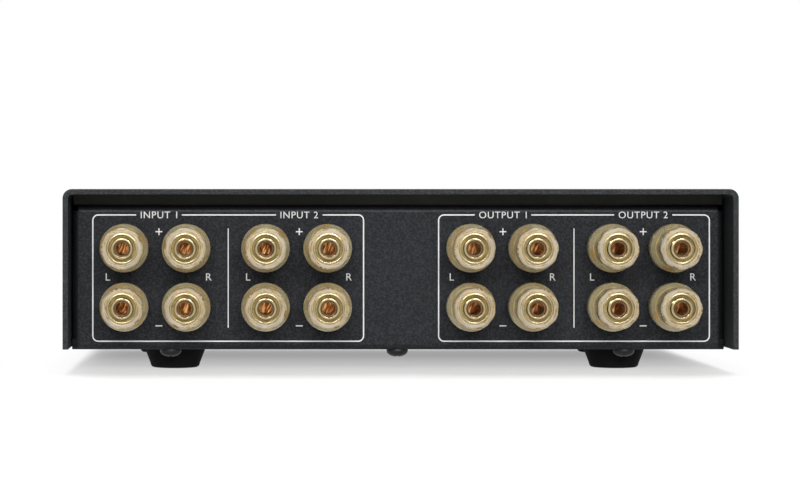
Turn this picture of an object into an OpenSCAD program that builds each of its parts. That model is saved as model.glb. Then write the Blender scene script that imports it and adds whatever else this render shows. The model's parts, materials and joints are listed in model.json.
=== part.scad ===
// Passive selector box for two stereo amplifiers and two pairs of loudspeakers.
// Millimetres. X runs across the case, the rear panel faces +Y and Z points up.
// The origin lies on the floor, under the middle of the whole part.

/* [Case] */
// Width of the cover, side to side
case_w = 216; // [212:1:250]
// Length of the cover, front edge to rear edge
cover_d = 140; // [130:1:200]
// Height of the cover, lower edge to top face
cover_h = 51.3; // [51:0.1:70]
// Thickness of the cover's sheet
cover_t = 1.7; // [1.2:0.1:2.2]
// Outer radius of the cover's two bends
cover_r = 3; // [2.6:0.1:5]
// How far the cover's lower edge hangs below the base plate
cover_drop = 0.35; // [0:0.05:1.5]
// How far the cover stands out past the rear panel
recess_d = 15; // [8:0.5:20]
// Thickness of the sheet of the base and the rear panel
sheet_t = 1.2; // [0.8:0.1:1.6]
// Outer radius of the bends in the base and the rear panel
sheet_r = 2; // [1.8:0.1:3]
// Height of the base's side flanges
flange_h = 14; // [12:0.5:20]
// Length of the rear panel's lower flange
lip_d = 9; // [8:0.5:10]
// Length of the rear panel's side and upper flanges
panel_flange_d = 8; // [6:0.5:12]
// Height of the slot between the rear panel and the cover
top_slot_h = 3; // [2:0.5:5]
// Gap between the cover and what it covers
cover_gap = 0.3; // [0.1:0.05:0.5]
// Thickness of the front panel
front_t = 4; // [3.5:0.5:8]
// Chamfer round the front panel's face
front_chamfer = 0.6; // [0.2:0.1:1]

/* [Feet] */
// Height of a foot
foot_h = 8.1; // [7.5:0.1:14]
// Diameter of a foot where it meets the base
foot_top_d = 21.6; // [19:0.2:24]
// Diameter of a foot above its rounded lower edge
foot_low_d = 16.4; // [15:0.2:18]
// Radius of a foot's lower edge
foot_edge_r = 1.3; // [0.5:0.1:1.8]
// Diameter of the recess for the screw's head
foot_recess_d = 8.6; // [8:0.1:10]
// Depth of the recess for the screw's head
foot_recess_h = 4; // [3:0.5:5]
// Distance of a rear foot's centre from the middle of the case
rear_foot_x = 73; // [60:1:85]
// Distance of a front foot's centre from the middle of the case
front_foot_x = 80; // [60:1:88]
// Distance of the rear feet from the rear panel's face
rear_foot_inset = 21; // [21:0.5:30]
// Distance of the front feet from the front panel's back
front_foot_inset = 16; // [13:0.5:30]

/* [Binding posts] */
// Distance from the middle of the case to each inner group of posts
group_inner_x = 33.1; // [30:0.1:36]
// Distance from the middle of the case to each outer group of posts
group_outer_x = 78.7; // [75:0.1:84]
// Distance between a group's left and right posts
post_pitch_x = 20; // [18:0.1:22]
// Distance between a plus post and the minus post below it
post_pitch_z = 19; // [18:0.05:22]
// Height of the middle of the posts above the base plate's underside
post_rise = 22.45; // [20:0.05:26]
// Diameter of the plug's bore
bore_d = 4.1; // [4:0.05:4.3]
// Depth of the plug's bore
bore_depth = 16; // [12:0.5:17]
// Width of the chamfer at the bore's mouth
bore_chamfer = 0.65; // [0.2:0.05:0.8]
// Outer diameter of the threaded tube
tube_d = 7; // [6.6:0.1:7.4]
// Height of the tube's end above the rear panel
tube_top = 22.3; // [22:0.1:26]
// Diameter of the flange that the clamp ring presses on
flange_d = 11; // [10:0.1:11.2]
// Thickness of that flange
flange_t = 1.5; // [1:0.1:2]
// Diameter of the hole across the tube for a bare wire
wire_hole_d = 3; // [2:0.1:3.4]
// Diameter of the stud that goes through the rear panel
stud_d = 5; // [4:0.1:5.4]
// Diameter of the insulating collar
collar_d = 15; // [14:0.1:16]
// Height of the insulating collar
collar_h = 4.6; // [3.5:0.1:5]
// Diameter of the collar's spigot in the rear panel
spigot_d = 8.4; // [7.5:0.1:9.5]
// Diameter of the insulating bush behind the rear panel
bush_d = 14; // [11:0.1:16]
// Thickness of that bush
bush_t = 2; // [1:0.1:3]
// How far the stud stands out behind the rear board
stud_past = 1.3; // [0.5:0.1:3]
// Width of the post's nut across its flats
nut_af = 8; // [8:0.1:10]
// Height of the post's nut
nut_h = 3; // [2:0.1:5]
// Thickness of the clamp ring's disc
ring_t = 1.6; // [1:0.1:2]
// Diameter of the clamp ring's hub, which the cap turns on
hub_d = 8.6; // [8.4:0.05:9]
// Height of that hub
hub_h = 1.2; // [0.8:0.1:1.6]

/* [Caps] */
// Diameter of the cap's skirt
skirt_d = 15.7; // [15.4:0.1:17]
// Diameter inside the cap's skirt
skirt_bore_d = 12.6; // [12.2:0.1:13]
// Height of the skirt's straight wall
skirt_h = 4.1; // [3.6:0.1:5]
// Height of the slope from the skirt to the waist
slope_h = 2.5; // [2:0.1:3]
// Diameter of the waist between the skirt and the grip
waist_d = 12.6; // [12:0.1:12.8]
// Height of the waist
waist_h = 0.8; // [0.4:0.1:1.5]
// Width of the eight-sided grip across its corners
grip_d = 14; // [13.6:0.1:15]
// Chamfer at the grip's end
grip_chamfer = 0.8; // [0.3:0.1:1]
// How far the tube's end stands out of the cap
tube_proud = 0.3; // [0:0.1:1]
// Diameter of the brass insert
insert_d = 10; // [9.4:0.1:10.4]
// Diameter of the insert's knurled foot
insert_foot_d = 12.4; // [12:0.1:12.4]
// Height of the insert's knurled foot above the clamp ring
insert_foot_h = 2; // [1.5:0.1:2.4]
// Diameter of the recess in the insert's end
insert_recess_d = 8.7; // [8.2:0.1:9]
// Depth of the recess in the insert's end
insert_recess_h = 1; // [0.2:0.1:1.5]

/* [Selectors] */
// Distance of each knob from the middle of the case
knob_x = 50; // [40:1:70]
// Diameter of a knob
knob_d = 30; // [24:0.5:36]
// Length of a knob
knob_h = 17; // [15:0.5:24]
// Chamfer round the knob's face
knob_chamfer = 1; // [0.3:0.1:2]
// Number of flutes round a knob
flute_count = 40; // [20:1:48]
// Diameter of the cutter of a flute
flute_d = 1.6; // [0.8:0.1:1.8]
// Height of the plain band under the flutes
flute_low = 2; // [1:0.5:3]
// Width of the pointer's groove
pointer_w = 1.6; // [0.8:0.1:3]
// Depth of the pointer's groove
pointer_t = 0.6; // [0.3:0.1:1]
// Gap between a knob and the front panel
knob_gap = 0.8; // [0.4:0.1:2]
// Diameter of a selector's shaft
shaft_d = 6; // [5:0.1:6.4]
// Length of the shaft inside the knob
shaft_grip = 12; // [10:0.5:13]
// Length of the shaft inside the switch's case
shaft_tail = 12; // [10:0.5:14]
// Depth of the flat on the shaft
shaft_flat = 1; // [0.4:0.1:1.5]
// Diameter of the selector's threaded neck
neck_d = 9; // [8.4:0.1:10]
// Width of the neck's nut across its flats
neck_nut_af = 13; // [12:0.1:14]
// Height of the neck's nut
neck_nut_h = 2.2; // [1.6:0.1:2.4]
// Depth of the pocket for that nut in the front panel
nut_pocket_h = 2.4; // [2.3:0.1:3]
// Width and height of a switch
switch_w = 30; // [28:0.5:36]
// Thickness of the switch's front plate
switch_front_t = 3; // [2:0.5:5]
// Length of the switch's case
switch_case_d = 18; // [16:0.5:30]
// Diameter of the rotor
rotor_d = 22; // [14:0.5:24]
// Thickness of the rotor
rotor_t = 4; // [2:0.5:6]
// Throw of the amplifier selector in degrees, over two positions
amp_throw = 60; // [30:30:90]
// Throw of the speaker selector in degrees, over three positions
speaker_throw = 90; // [60:30:120]

/* [Fasteners] */
// Diameter of the shanks of the base screws
base_screw_d = 3.4; // [2.5:0.1:3.5]
// Diameter of the heads of the base screws
base_head_d = 7; // [6:0.1:7.4]
// Height of the heads of the base screws
base_head_h = 2.5; // [2:0.1:2.8]
// Distance of the rear panel's screws from its face
lip_screw_in = 5; // [4.5:0.1:5.2]
// Distance of the outer rear panel screws from the middle
lip_screw_x = 74; // [60:1:95]
// Diameter of the shanks of the cover and front panel screws
small_screw_d = 3; // [2:0.1:3.2]
// Diameter of the heads of the cover and front panel screws
small_head_d = 5.6; // [5:0.1:6]
// Height of the heads of the front panel screws
small_head_h = 2; // [1.5:0.1:2.5]
// Length of a screw past the sheet that it holds
screw_past = 3; // [2:0.5:5]
// Distance of the cover screws from the ends of the cover
cover_screw_in = 30; // [25:1:50]
// Height of the cover screws above the base plate's underside
cover_screw_up = 8; // [7:0.5:9]
// Distance of the front panel screws from the sides of the case
front_screw_in = 12; // [10:0.5:20]
// Distance of the front panel screws from the cover's lower edge and top
front_screw_up = 9; // [8:0.5:12]
// Thickness left in front of the front panel's screw holes
front_skin = 1.2; // [0.8:0.1:1.5]
// Diameter of the knob's grub screw
grub_d = 3; // [2:0.1:4]
// How far the grub screw ends inside the knob's side
grub_inset = 3.5; // [2:0.5:5]
// Depth of the grub screw's socket
grub_socket_h = 1.2; // [0.8:0.1:2]
// Height of the grub screw above the knob's back
grub_up = 5; // [4:0.5:7]

/* [Wiring] */
// Thickness of the rear board
board_t = 1.6; // [1:0.1:2.4]
// Margin of the rear board round the outer posts
board_margin = 6.5; // [5:0.5:8]
// Diameter of an insulated wire
wire_d = 2.6; // [1.5:0.1:3]
// Distance between the solder pads of a group
pad_pitch = 6; // [4:0.5:8]
// Distance between a switch's tags, side to side
tag_pitch_x = 7; // [5:0.5:8]
// Distance between a switch's two rows of tags
tag_pitch_z = 12; // [8:0.5:18]
// Length of a tag
tag_h = 6; // [4:0.5:8]
// Width of a tag
tag_w = 3; // [2:0.1:4]
// Thickness of a tag
tag_t = 0.8; // [0.4:0.1:1.2]
// Length of the straight pull of a wire at each of its ends
wire_pull = 30; // [15:1:40]

/* [Fits] */
// Radial clearance of a turning or threaded fit
run_gap = 0.05; // [0.02:0.01:0.08]
// Radial clearance round screws, studs and loose seats
seat_gap = 0.1; // [0.05:0.01:0.2]
// Radial clearance between the insert's rim and the clamp ring inside it
rim_gap = 0.2; // [0.1:0.05:0.2]
// Clearance at the end of a pocket, or beside what turns past it
end_gap = 0.3; // [0.2:0.05:0.5]

/* [Hidden] */
$fn = 64;
cut = 1; // how far a cutter reaches past what it cuts

// Heights above the floor
base_z = foot_h;
cover_low = base_z - cover_drop;
cover_top = cover_low + cover_h;
inside_top = cover_top - cover_t - cover_gap;
post_z = base_z + post_rise;
knob_z = cover_low + cover_h / 2;

// Places from front to back
total_d = knob_h + knob_gap + front_t + cover_d - recess_d + tube_top;
panel_y = total_d / 2 - tube_top;
rear_edge_y = panel_y + recess_d;
front_edge_y = rear_edge_y - cover_d;
front_face_y = front_edge_y - front_t;
wall_back_y = front_edge_y + sheet_t;
case_back_y = wall_back_y + switch_front_t + switch_case_d;
inside_w = case_w - 2 * (cover_t + cover_gap);
inside_r = cover_r - cover_t - cover_gap;

// Places along a post, from the rear panel's face outwards
flange_top = collar_h + flange_t;
ring_top = flange_top + ring_t;
cap_low = collar_h + end_gap;
cap_top = tube_top - tube_proud;
slope_low = cap_low + skirt_h;
grip_low = slope_low + slope_h + waist_h;
insert_top = cap_top - end_gap;
rim_low = cap_low + end_gap;
wire_hole_z = flange_top + wire_hole_d / 2 + end_gap;
board_z = -(sheet_t + bush_t + nut_h + board_t);
stud_low = board_z - stud_past;

// Every post: its name, its place across and above the floor, and the turn of its grip
GROUPS = [["amp1", group_outer_x], ["amp2", group_inner_x],
          ["speaker1", -group_inner_x], ["speaker2", -group_outer_x]];
SIDES = [["left", 1], ["right", -1]];
POLES = [["plus", 1], ["minus", -1]];
grip_turns = [0, 21, 9, 33, 15, 3, 27, 39, 12, 30, 6, 18, 36, 24, 42, 0];
POSTS = [for (g = [0:3]) for (s = [0:1]) for (p = [0:1])
    [str(GROUPS[g][0], "_", SIDES[s][0], "_", POLES[p][0]),
     GROUPS[g][1] + SIDES[s][1] * post_pitch_x / 2,
     post_z + POLES[p][1] * post_pitch_z / 2,
     grip_turns[4 * g + 2 * s + p]]];

// ---- helpers ----

// Stands what is drawn in the XY plane up on its edge, from y1 back to y0
module upright(y0, y1) { translate([0, y1, 0]) rotate([90, 0, 0]) linear_extrude(y1 - y0) children(); }

// Points what is drawn along +Z out of the rear panel, at one post or at all of them
module at_post(p) { translate([p[1], panel_y, p[2]]) rotate([-90, 0, 0]) children(); }
module at_posts() { for (p = POSTS) at_post(p) children(); }

// Points what is drawn along +Z out of the front panel, with z = 0 on its face
module at_knob(x) { translate([x, front_face_y, knob_z]) rotate([90, 0, 0]) children(); }
module at_knobs() { for (x = [-knob_x, knob_x]) at_knob(x) children(); }
// A plate from y = low to y = high, with rounded corners at its top and, if asked, at its foot
module plate(w, low, high, r_top, r_foot = 0) {
    translate([-w / 2, low + r_foot]) square([w, high - low - r_top - r_foot]);
    translate([-w / 2 + r_top, high - r_top]) square([w - 2 * r_top, r_top]);
    for (side = [-1, 1]) translate([side * (w / 2 - r_top), high - r_top]) circle(r_top);
    if (r_foot > 0) {
        translate([-w / 2 + r_foot, low]) square([w - 2 * r_foot, r_foot]);
        for (side = [-1, 1]) translate([side * (w / 2 - r_foot), low + r_foot]) circle(r_foot);
    }
}

// A turned piece: each step is a diameter and a height, from the lowest to the highest
module turned(steps) {
    last = len(steps) - 1;
    rotate_extrude() polygon(concat([[0, steps[0][1]]], [for (s = steps) [s[0] / 2, s[1]]],
                                    [[0, steps[last][1]]]));
}

// A washer or a tube from z0 to z1
module ring(d, hole_d, z0, z1) {
    translate([0, 0, z0]) difference() {
        cylinder(d = d, h = z1 - z0);
        translate([0, 0, -cut]) cylinder(d = hole_d, h = z1 - z0 + 2 * cut);
    }
}

// A hexagonal nut standing on z = 0
module hex_nut(af, hole_d, h) {
    difference() {
        cylinder(d = af / cos(30), h = h, $fn = 6);
        translate([0, 0, -cut]) cylinder(d = hole_d, h = h + 2 * cut);
    }
}

// A domed screw head below z = 0 with its shank above
module pan_screw(head_d, head_h, shank_d, length) {
    slot = 0.9; // width of the cross in the head
    rim_h = head_h / 4;
    dome_h = head_h - rim_h;
    difference() {
        turned(concat([for (a = [75:-15:0]) [head_d * cos(a), -rim_h - dome_h * sin(a) / sin(75)]],
                      [[head_d, 0], [shank_d, 0], [shank_d, length]]));
        for (turn = [0, 90]) rotate([0, 0, turn])
            translate([-head_d / 4, -slot / 2, -head_h - cut]) cube([head_d / 2, slot, cut + head_h / 3]);
    }
}

// ---- case ----

module top_cover() {
    color("#2b2c2f") difference() {
        upright(front_edge_y, rear_edge_y) difference() {
            plate(case_w, cover_low, cover_top, cover_r);
            plate(case_w - 2 * cover_t, cover_low - cut, cover_top - cover_t, cover_r - cover_t);
        }
        at_cover_screws() cover_screw_cutter();
    }
}

// The base plate with its side flanges and the wall behind the front panel
module base_tray() {
    color("#3a3b3d") difference() {
        union() {
            upright(front_edge_y, panel_y - sheet_t - cover_gap) intersection() {
                difference() {
                    plate(inside_w, base_z, inside_top, inside_r, sheet_r);
                    plate(inside_w - 2 * sheet_t, base_z + sheet_t, inside_top + cut,
                          inside_r, sheet_r - sheet_t);
                }
                translate([-inside_w / 2, base_z]) square([inside_w, flange_h]);
            }
            upright(front_edge_y, wall_back_y)
                plate(inside_w, base_z, inside_top, inside_r, sheet_r);
        }
        at_knobs() translate([0, 0, -front_t - sheet_t - cut])
            cylinder(d = neck_d + 2 * seat_gap, h = sheet_t + 2 * cut);
        at_front_screws() translate([0, 0, -sheet_t - cut])
            cylinder(d = small_screw_d + 2 * seat_gap, h = sheet_t + 2 * cut);
        at_feet() translate([0, 0, base_z - cut])
            cylinder(d = base_screw_d + 2 * seat_gap, h = sheet_t + 2 * cut);
        at_lip_screws() translate([0, 0, -cut])
            cylinder(d = base_screw_d + 2 * seat_gap, h = 2 * sheet_t + 2 * cut);
        at_cover_screws() translate([0, 0, -cover_t - cover_gap - sheet_t - cut])
            cylinder(d = small_screw_d + 2 * seat_gap, h = sheet_t + 2 * cut);
        translate([-inside_w / 2 - cut, panel_y - panel_flange_d - cover_gap, base_z + sheet_r])
            cube([inside_w + 2 * cut, panel_flange_d + cover_gap, flange_h]);
    }
}

// A flange of so much length with its bend, in profile: the sheet's outer corner is the origin
module bent_flange(length) {
    translate([-length, 0]) square([length - sheet_r, sheet_t]);
    intersection() {
        translate([-sheet_r, 0]) square(sheet_r);
        translate([-sheet_r, sheet_r]) difference() {
            circle(sheet_r);
            circle(sheet_r - sheet_t);
        }
    }
}

// A profile in depth and height, drawn from the rear panel's lower corner, over so much width
module across_panel(width) {
    translate([-width / 2, panel_y, base_z - sheet_t]) rotate([90, 0, 90]) linear_extrude(width) children();
}

// The sheet that carries the posts, bent forward at all four edges, at the lower one under the base
module rear_panel() {
    height = inside_top - top_slot_h - base_z + sheet_t;
    corner_h = sheet_r + sheet_t + cover_gap;
    color("#3c3d42") difference() {
        union() {
            across_panel(inside_w) {
                translate([-sheet_t, sheet_r]) square([sheet_t, corner_h - sheet_r]);
                bent_flange(lip_d);
            }
            across_panel(inside_w - 2 * sheet_r) {
                translate([-sheet_t, sheet_r]) square([sheet_t, height - 2 * sheet_r]);
                translate([0, height]) mirror([0, 1]) bent_flange(panel_flange_d);
            }
            for (side = [0, 1]) mirror([side, 0, 0])
                translate([inside_w / 2, panel_y, base_z - sheet_t + corner_h])
                    linear_extrude(height - corner_h - sheet_r) rotate(90) bent_flange(panel_flange_d);
        }
        at_posts() translate([0, 0, -sheet_t - cut])
            cylinder(d = spigot_d + 2 * seat_gap, h = sheet_t + 2 * cut);
        at_lip_screws() translate([0, 0, -cut])
            cylinder(d = base_screw_d + 2 * seat_gap, h = sheet_t + 2 * cut);
    }
}

module front_panel() {
    color("#26272a") difference() {
        union() {
            upright(front_face_y + front_chamfer, front_edge_y)
                plate(case_w, cover_low, cover_top, cover_r, cover_r);
            upright(front_face_y, front_edge_y)
                plate(case_w - 2 * front_chamfer, cover_low + front_chamfer, cover_top - front_chamfer,
                      cover_r - front_chamfer, cover_r - front_chamfer);
        }
        at_knobs() {
            translate([0, 0, -front_t - cut]) cylinder(d = neck_d + 2 * seat_gap, h = front_t + 2 * cut);
            translate([0, 0, -nut_pocket_h])
                cylinder(d = neck_nut_af / cos(30) + 2 * end_gap, h = nut_pocket_h + cut);
        }
        at_front_screws() cylinder(d = small_screw_d + 2 * seat_gap, h = front_t - front_skin);
    }
}

// ---- feet and fasteners ----

module at_feet() {
    for (side = [-1, 1]) {
        translate([side * front_foot_x, front_edge_y + front_foot_inset, 0]) children();
        translate([side * rear_foot_x, panel_y - rear_foot_inset, 0]) children();
    }
}

module feet() {
    corner_r = foot_low_d / 2 - foot_edge_r;
    color("#17181a") at_feet() difference() {
        rotate_extrude() polygon(concat(
            [[0, 0]],
            [for (a = [-90:15:0]) [corner_r + foot_edge_r * cos(a), foot_edge_r * (1 + sin(a))]],
            [[foot_top_d / 2, foot_h], [0, foot_h]]));
        translate([0, 0, -cut]) cylinder(d = foot_recess_d, h = foot_recess_h + cut);
        cylinder(d = base_screw_d + 2 * seat_gap, h = foot_h + cut);
    }
}

module foot_screws() {
    length = foot_h - foot_recess_h + sheet_t + screw_past;
    color("#2c2c2c") at_feet() translate([0, 0, foot_recess_h])
        pan_screw(base_head_d, base_head_h, base_screw_d, length);
}

// The rear panel's screws stand with z = 0 on the underside of its lower flange
module at_lip_screws() {
    for (x = [-lip_screw_x, 0, lip_screw_x])
        translate([x, panel_y - lip_screw_in, base_z - sheet_t]) children();
}

module rear_panel_screws() {
    color("#2c2c2c") at_lip_screws()
        pan_screw(base_head_d, base_head_h, base_screw_d, 2 * sheet_t + screw_past);
}

// The cover's screws point along +Z out of its sides, with z = 0 on the outer face
module at_cover_screws() {
    for (side = [-1, 1], y = [front_edge_y + cover_screw_in, rear_edge_y - recess_d - cover_screw_in])
        translate([side * case_w / 2, y, base_z + cover_screw_up]) rotate([0, side * 90, 0]) children();
}

// A countersunk screw, or with a gap the hole that it sits in
module countersunk(gap, length) {
    sink_h = (small_head_d - small_screw_d) / 2;
    turned([[small_screw_d + 2 * gap, -length], [small_screw_d + 2 * gap, -sink_h],
            [small_head_d + 2 * gap, 0]]);
}

module cover_screw_cutter() {
    countersunk(seat_gap, cover_t + cut);
    cylinder(d = small_head_d + 2 * seat_gap, h = cut);
}

module cover_screws() {
    slot = 0.8; // width and depth of the cross in the head
    color("#2c2c2c") at_cover_screws() difference() {
        countersunk(0, cover_t + cover_gap + sheet_t + screw_past);
        for (turn = [0, 90]) rotate([0, 0, turn])
            translate([-small_head_d / 4, -slot / 2, -slot]) cube([small_head_d / 2, slot, slot + cut]);
    }
}

// The front panel's screws go in from behind, with z = 0 on the panel's back
module at_front_screws() {
    for (x = [-1, 1] * (case_w / 2 - front_screw_in),
         z = [cover_low + front_screw_up, cover_top - front_screw_up])
        translate([x, front_edge_y, z]) rotate([90, 0, 0]) children();
}

module front_panel_screws() {
    color("#8d8f92") at_front_screws() translate([0, 0, -sheet_t])
        pan_screw(small_head_d, small_head_h, small_screw_d, sheet_t + front_t - front_skin - end_gap);
}

// ---- binding posts ----

// The stud, its flange and the threaded tube with the plug's bore
module post_tubes() {
    color("#c9a64a") at_posts() difference() {
        turned([[stud_d, stud_low], [stud_d, collar_h], [flange_d, collar_h],
                [flange_d, flange_top], [tube_d, flange_top], [tube_d, tube_top]]);
        translate([0, 0, tube_top - bore_depth]) cylinder(d = bore_d, h = bore_depth + cut);
        translate([0, 0, tube_top - bore_chamfer])
            cylinder(d1 = bore_d, d2 = bore_d + 2 * bore_chamfer, h = bore_chamfer);
        translate([0, 0, wire_hole_z]) rotate([90, 0, 0])
            cylinder(d = wire_hole_d, h = tube_d + 2 * cut, center = true);
    }
}

module post_collars() {
    color("#e8e2d0") at_posts() difference() {
        turned([[spigot_d, seat_gap - sheet_t], [spigot_d, 0], [collar_d, 0], [collar_d, collar_h]]);
        translate([0, 0, -sheet_t]) cylinder(d = stud_d + 2 * seat_gap, h = collar_h + sheet_t + cut);
    }
}

module post_bushes() {
    color("#202124") at_posts() ring(bush_d, stud_d + 2 * seat_gap, -sheet_t - bush_t, -sheet_t);
}

module post_nuts() {
    color("#c9a64a") at_posts() translate([0, 0, -sheet_t - bush_t - nut_h])
        hex_nut(nut_af, stud_d + 2 * seat_gap, nut_h);
}

// The loose ring that presses a wire or a fork on the flange without turning
module clamp_ring() {
    color("#d8b65a") difference() {
        turned([[flange_d, flange_top], [flange_d, ring_top], [hub_d, ring_top],
                [hub_d, ring_top + hub_h]]);
        translate([0, 0, flange_top - cut])
            cylinder(d = tube_d + 2 * run_gap, h = ring_t + hub_h + 2 * cut);
    }
}

// The clear shell of a cap, open at both ends for the insert and the tube
module cap_shell(turn) {
    seat = ring_top + insert_foot_h + seat_gap;
    difference() {
        union() {
            turned([[skirt_d, cap_low], [skirt_d, slope_low], [waist_d, slope_low + slope_h],
                    [waist_d, grip_low + cut]]);
            intersection() {
                rotate([0, 0, turn]) translate([0, 0, grip_low])
                    cylinder(d = grip_d, h = cap_top - grip_low, $fn = 8);
                turned([[grip_d + cut, grip_low - cut], [grip_d + cut, cap_top - grip_chamfer - cut / 2],
                        [grip_d - 2 * grip_chamfer, cap_top]]);
            }
        }
        turned([[skirt_bore_d, cap_low - cut], [skirt_bore_d, seat], [insert_d + 2 * seat_gap, seat],
                [insert_d + 2 * seat_gap, cap_top + cut]]);
    }
}

// The brass insert that carries the cap's thread, with a rim round the clamp ring
module cap_insert() {
    foot_top = ring_top + insert_foot_h;
    hub_top = ring_top + hub_h + end_gap;
    recess_z = insert_top - insert_recess_h;
    bore = tube_d + 2 * run_gap;
    hub_bore = hub_d + 2 * run_gap;
    rim_bore = flange_d + 2 * rim_gap;
    difference() {
        turned([[insert_foot_d, rim_low], [insert_foot_d, foot_top], [insert_d, foot_top],
                [insert_d, insert_top]]);
        turned([[rim_bore, rim_low - cut], [rim_bore, ring_top], [hub_bore, ring_top],
                [hub_bore, hub_top], [bore, hub_top], [bore, recess_z],
                [insert_recess_d, recess_z], [insert_recess_d, insert_top + cut]]);
    }
}

module cap(turn) {
    color("#efe6c8") cap_shell(turn);
    color("#d8b65a") cap_insert();
}

// ---- wiring ----

module rear_board() {
    half_w = group_outer_x + post_pitch_x / 2 + board_margin;
    half_h = post_pitch_z / 2 + board_margin;
    color("#2f5a3c") difference() {
        upright(panel_y + board_z, panel_y + board_z + board_t)
            translate([-half_w, post_z - half_h]) square([2 * half_w, 2 * half_h]);
        at_posts() translate([0, 0, board_z - cut])
            cylinder(d = stud_d + 2 * seat_gap, h = board_t + 2 * cut);
    }
}

// Place of one tag or pad: bank is 0 or 1 across the switch, i and j step within the bank
function tag_place(x, bank, i, j) =
    [x + (2 * bank + i - 1.5) * tag_pitch_x, case_back_y + tag_h, knob_z + (j - 0.5) * tag_pitch_z];
function pad_place(x, i, j) =
    [x + (i - 0.5) * pad_pitch, panel_y + board_z, post_z + (j - 0.5) * pad_pitch];

module switch_tags() {
    color("#c8ccd0") for (x = [-knob_x, knob_x], bank = [0, 1], i = [0, 1], j = [0, 1])
        translate(tag_place(x, bank, i, j) - [tag_w / 2, tag_h, tag_t / 2]) cube([tag_w, tag_h, tag_t]);
}

// A cubic curve from a to b that leaves and arrives along Y
function run_point(a, b, t) =
    a * pow(1 - t, 3) + (a + [0, wire_pull, 0]) * 3 * t * pow(1 - t, 2)
    + (b - [0, wire_pull, 0]) * 3 * t * t * (1 - t) + b * pow(t, 3);
function run_slope(a, b, t) =
    [0, wire_pull, 0] * 3 * pow(1 - t, 2) + (b - a - [0, 2 * wire_pull, 0]) * 6 * t * (1 - t)
    + [0, wire_pull, 0] * 3 * t * t;
function unit(v) = v / norm(v);

// One insulated wire as a tube of flat sides round that curve
module wire(a, b) {
    sides = 8;
    steps = 18;
    points = [for (n = [0:steps])
        let (t = n / steps, along = unit(run_slope(a, b, t)), across = unit(cross(along, [0, 0, 1])),
             up = cross(across, along))
        for (k = [0:sides - 1]) run_point(a, b, t)
            + wire_d / 2 * (across * cos(k * 360 / sides) + up * sin(k * 360 / sides))];
    walls = [for (n = [0:steps - 1]) for (k = [0:sides - 1])
        let (p = n * sides + k, q = n * sides + (k + 1) % sides)
        for (face = [[p, q, q + sides], [p, q + sides, p + sides]]) face];
    ends = [[for (k = [0:sides - 1]) sides - 1 - k], [for (k = [0:sides - 1]) steps * sides + k]];
    polyhedron(points, concat(walls, ends));
}

// The eight wires of one switch, to the pads of its two groups of posts
module harness(x, group_x) {
    for (bank = [0, 1], i = [0, 1], j = [0, 1])
        wire(tag_place(x, bank, i, j), pad_place(group_x[bank], i, j));
}

module amp_wires() { color("#b03030") harness(knob_x, [group_inner_x, group_outer_x]); }
module speaker_wires() { color("#2d5fa8") harness(-knob_x, [-group_outer_x, -group_inner_x]); }

// ---- selectors ----

// The front plate of a switch and the threaded neck that goes through the panels
module switch_front(x) {
    plate_z = -front_t - sheet_t;
    neck_top = -nut_pocket_h + neck_nut_h;
    color("#9b9da0") at_knob(x) difference() {
        union() {
            translate([-switch_w / 2, -switch_w / 2, plate_z - switch_front_t])
                cube([switch_w, switch_w, switch_front_t]);
            translate([0, 0, plate_z - switch_front_t / 2])
                cylinder(d = neck_d, h = neck_top - plate_z + switch_front_t / 2);
        }
        translate([0, 0, plate_z - switch_front_t - cut])
            cylinder(d = shaft_d + 2 * run_gap, h = neck_top - plate_z + switch_front_t + 2 * cut);
    }
}

// The moulded case of a switch, with the rotor's chamber and the tail's bearing
module switch_case(x) {
    face_z = -front_t - sheet_t - switch_front_t;
    color("#3b3f45") at_knob(x) difference() {
        translate([-switch_w / 2, -switch_w / 2, face_z - switch_case_d])
            cube([switch_w, switch_w, switch_case_d]);
        translate([0, 0, face_z - rotor_t - 2 * end_gap])
            cylinder(d = rotor_d + 2 * end_gap, h = rotor_t + 2 * end_gap + cut);
        translate([0, 0, face_z - shaft_tail - end_gap])
            cylinder(d = shaft_d + 2 * run_gap, h = shaft_tail + cut);
    }
}

// The shaft with its rotor and the flat for the knob's screw
module selector_shaft(x, turn) {
    low = -front_t - sheet_t - switch_front_t - shaft_tail;
    high = knob_gap + shaft_grip;
    rotor_top = low + shaft_tail - end_gap;
    rotor_low = rotor_top - rotor_t;
    color("#b8babd") at_knob(x) rotate([0, 0, turn]) difference() {
        turned([[shaft_d, low], [shaft_d, rotor_low], [rotor_d, rotor_low], [rotor_d, rotor_top],
                [shaft_d, rotor_top], [shaft_d, high]]);
        translate([-shaft_d / 2, shaft_d / 2 - shaft_flat, knob_gap])
            cube([shaft_d, shaft_d, shaft_grip + cut]);
    }
}

// A knob whose pointer stands at an angle from the top, turned towards the left
module knob(x, turn) {
    color("#1f2023") at_knob(x) translate([0, 0, knob_gap]) rotate([0, 0, turn]) difference() {
        turned([[knob_d, 0], [knob_d, knob_h - knob_chamfer], [knob_d - 2 * knob_chamfer, knob_h]]);
        for (n = [0:flute_count - 1]) rotate([0, 0, (n + 0.5) * 360 / flute_count])
            translate([0, knob_d / 2, flute_low]) cylinder(d = flute_d, h = knob_h);
        translate([-pointer_w / 2, knob_d / 6, knob_h - pointer_t])
            cube([pointer_w, knob_d, pointer_t + cut]);
        translate([0, 0, -cut]) intersection() {
            cylinder(d = shaft_d + 2 * run_gap, h = shaft_grip + end_gap + cut);
            translate([-shaft_d, -shaft_d, 0])
                cube([2 * shaft_d, 1.5 * shaft_d - shaft_flat + run_gap, shaft_grip + end_gap + cut]);
        }
        translate([0, 0, grub_up]) rotate([-90, 0, 0]) cylinder(d = grub_d + 2 * seat_gap, h = knob_d);
    }
}

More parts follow.
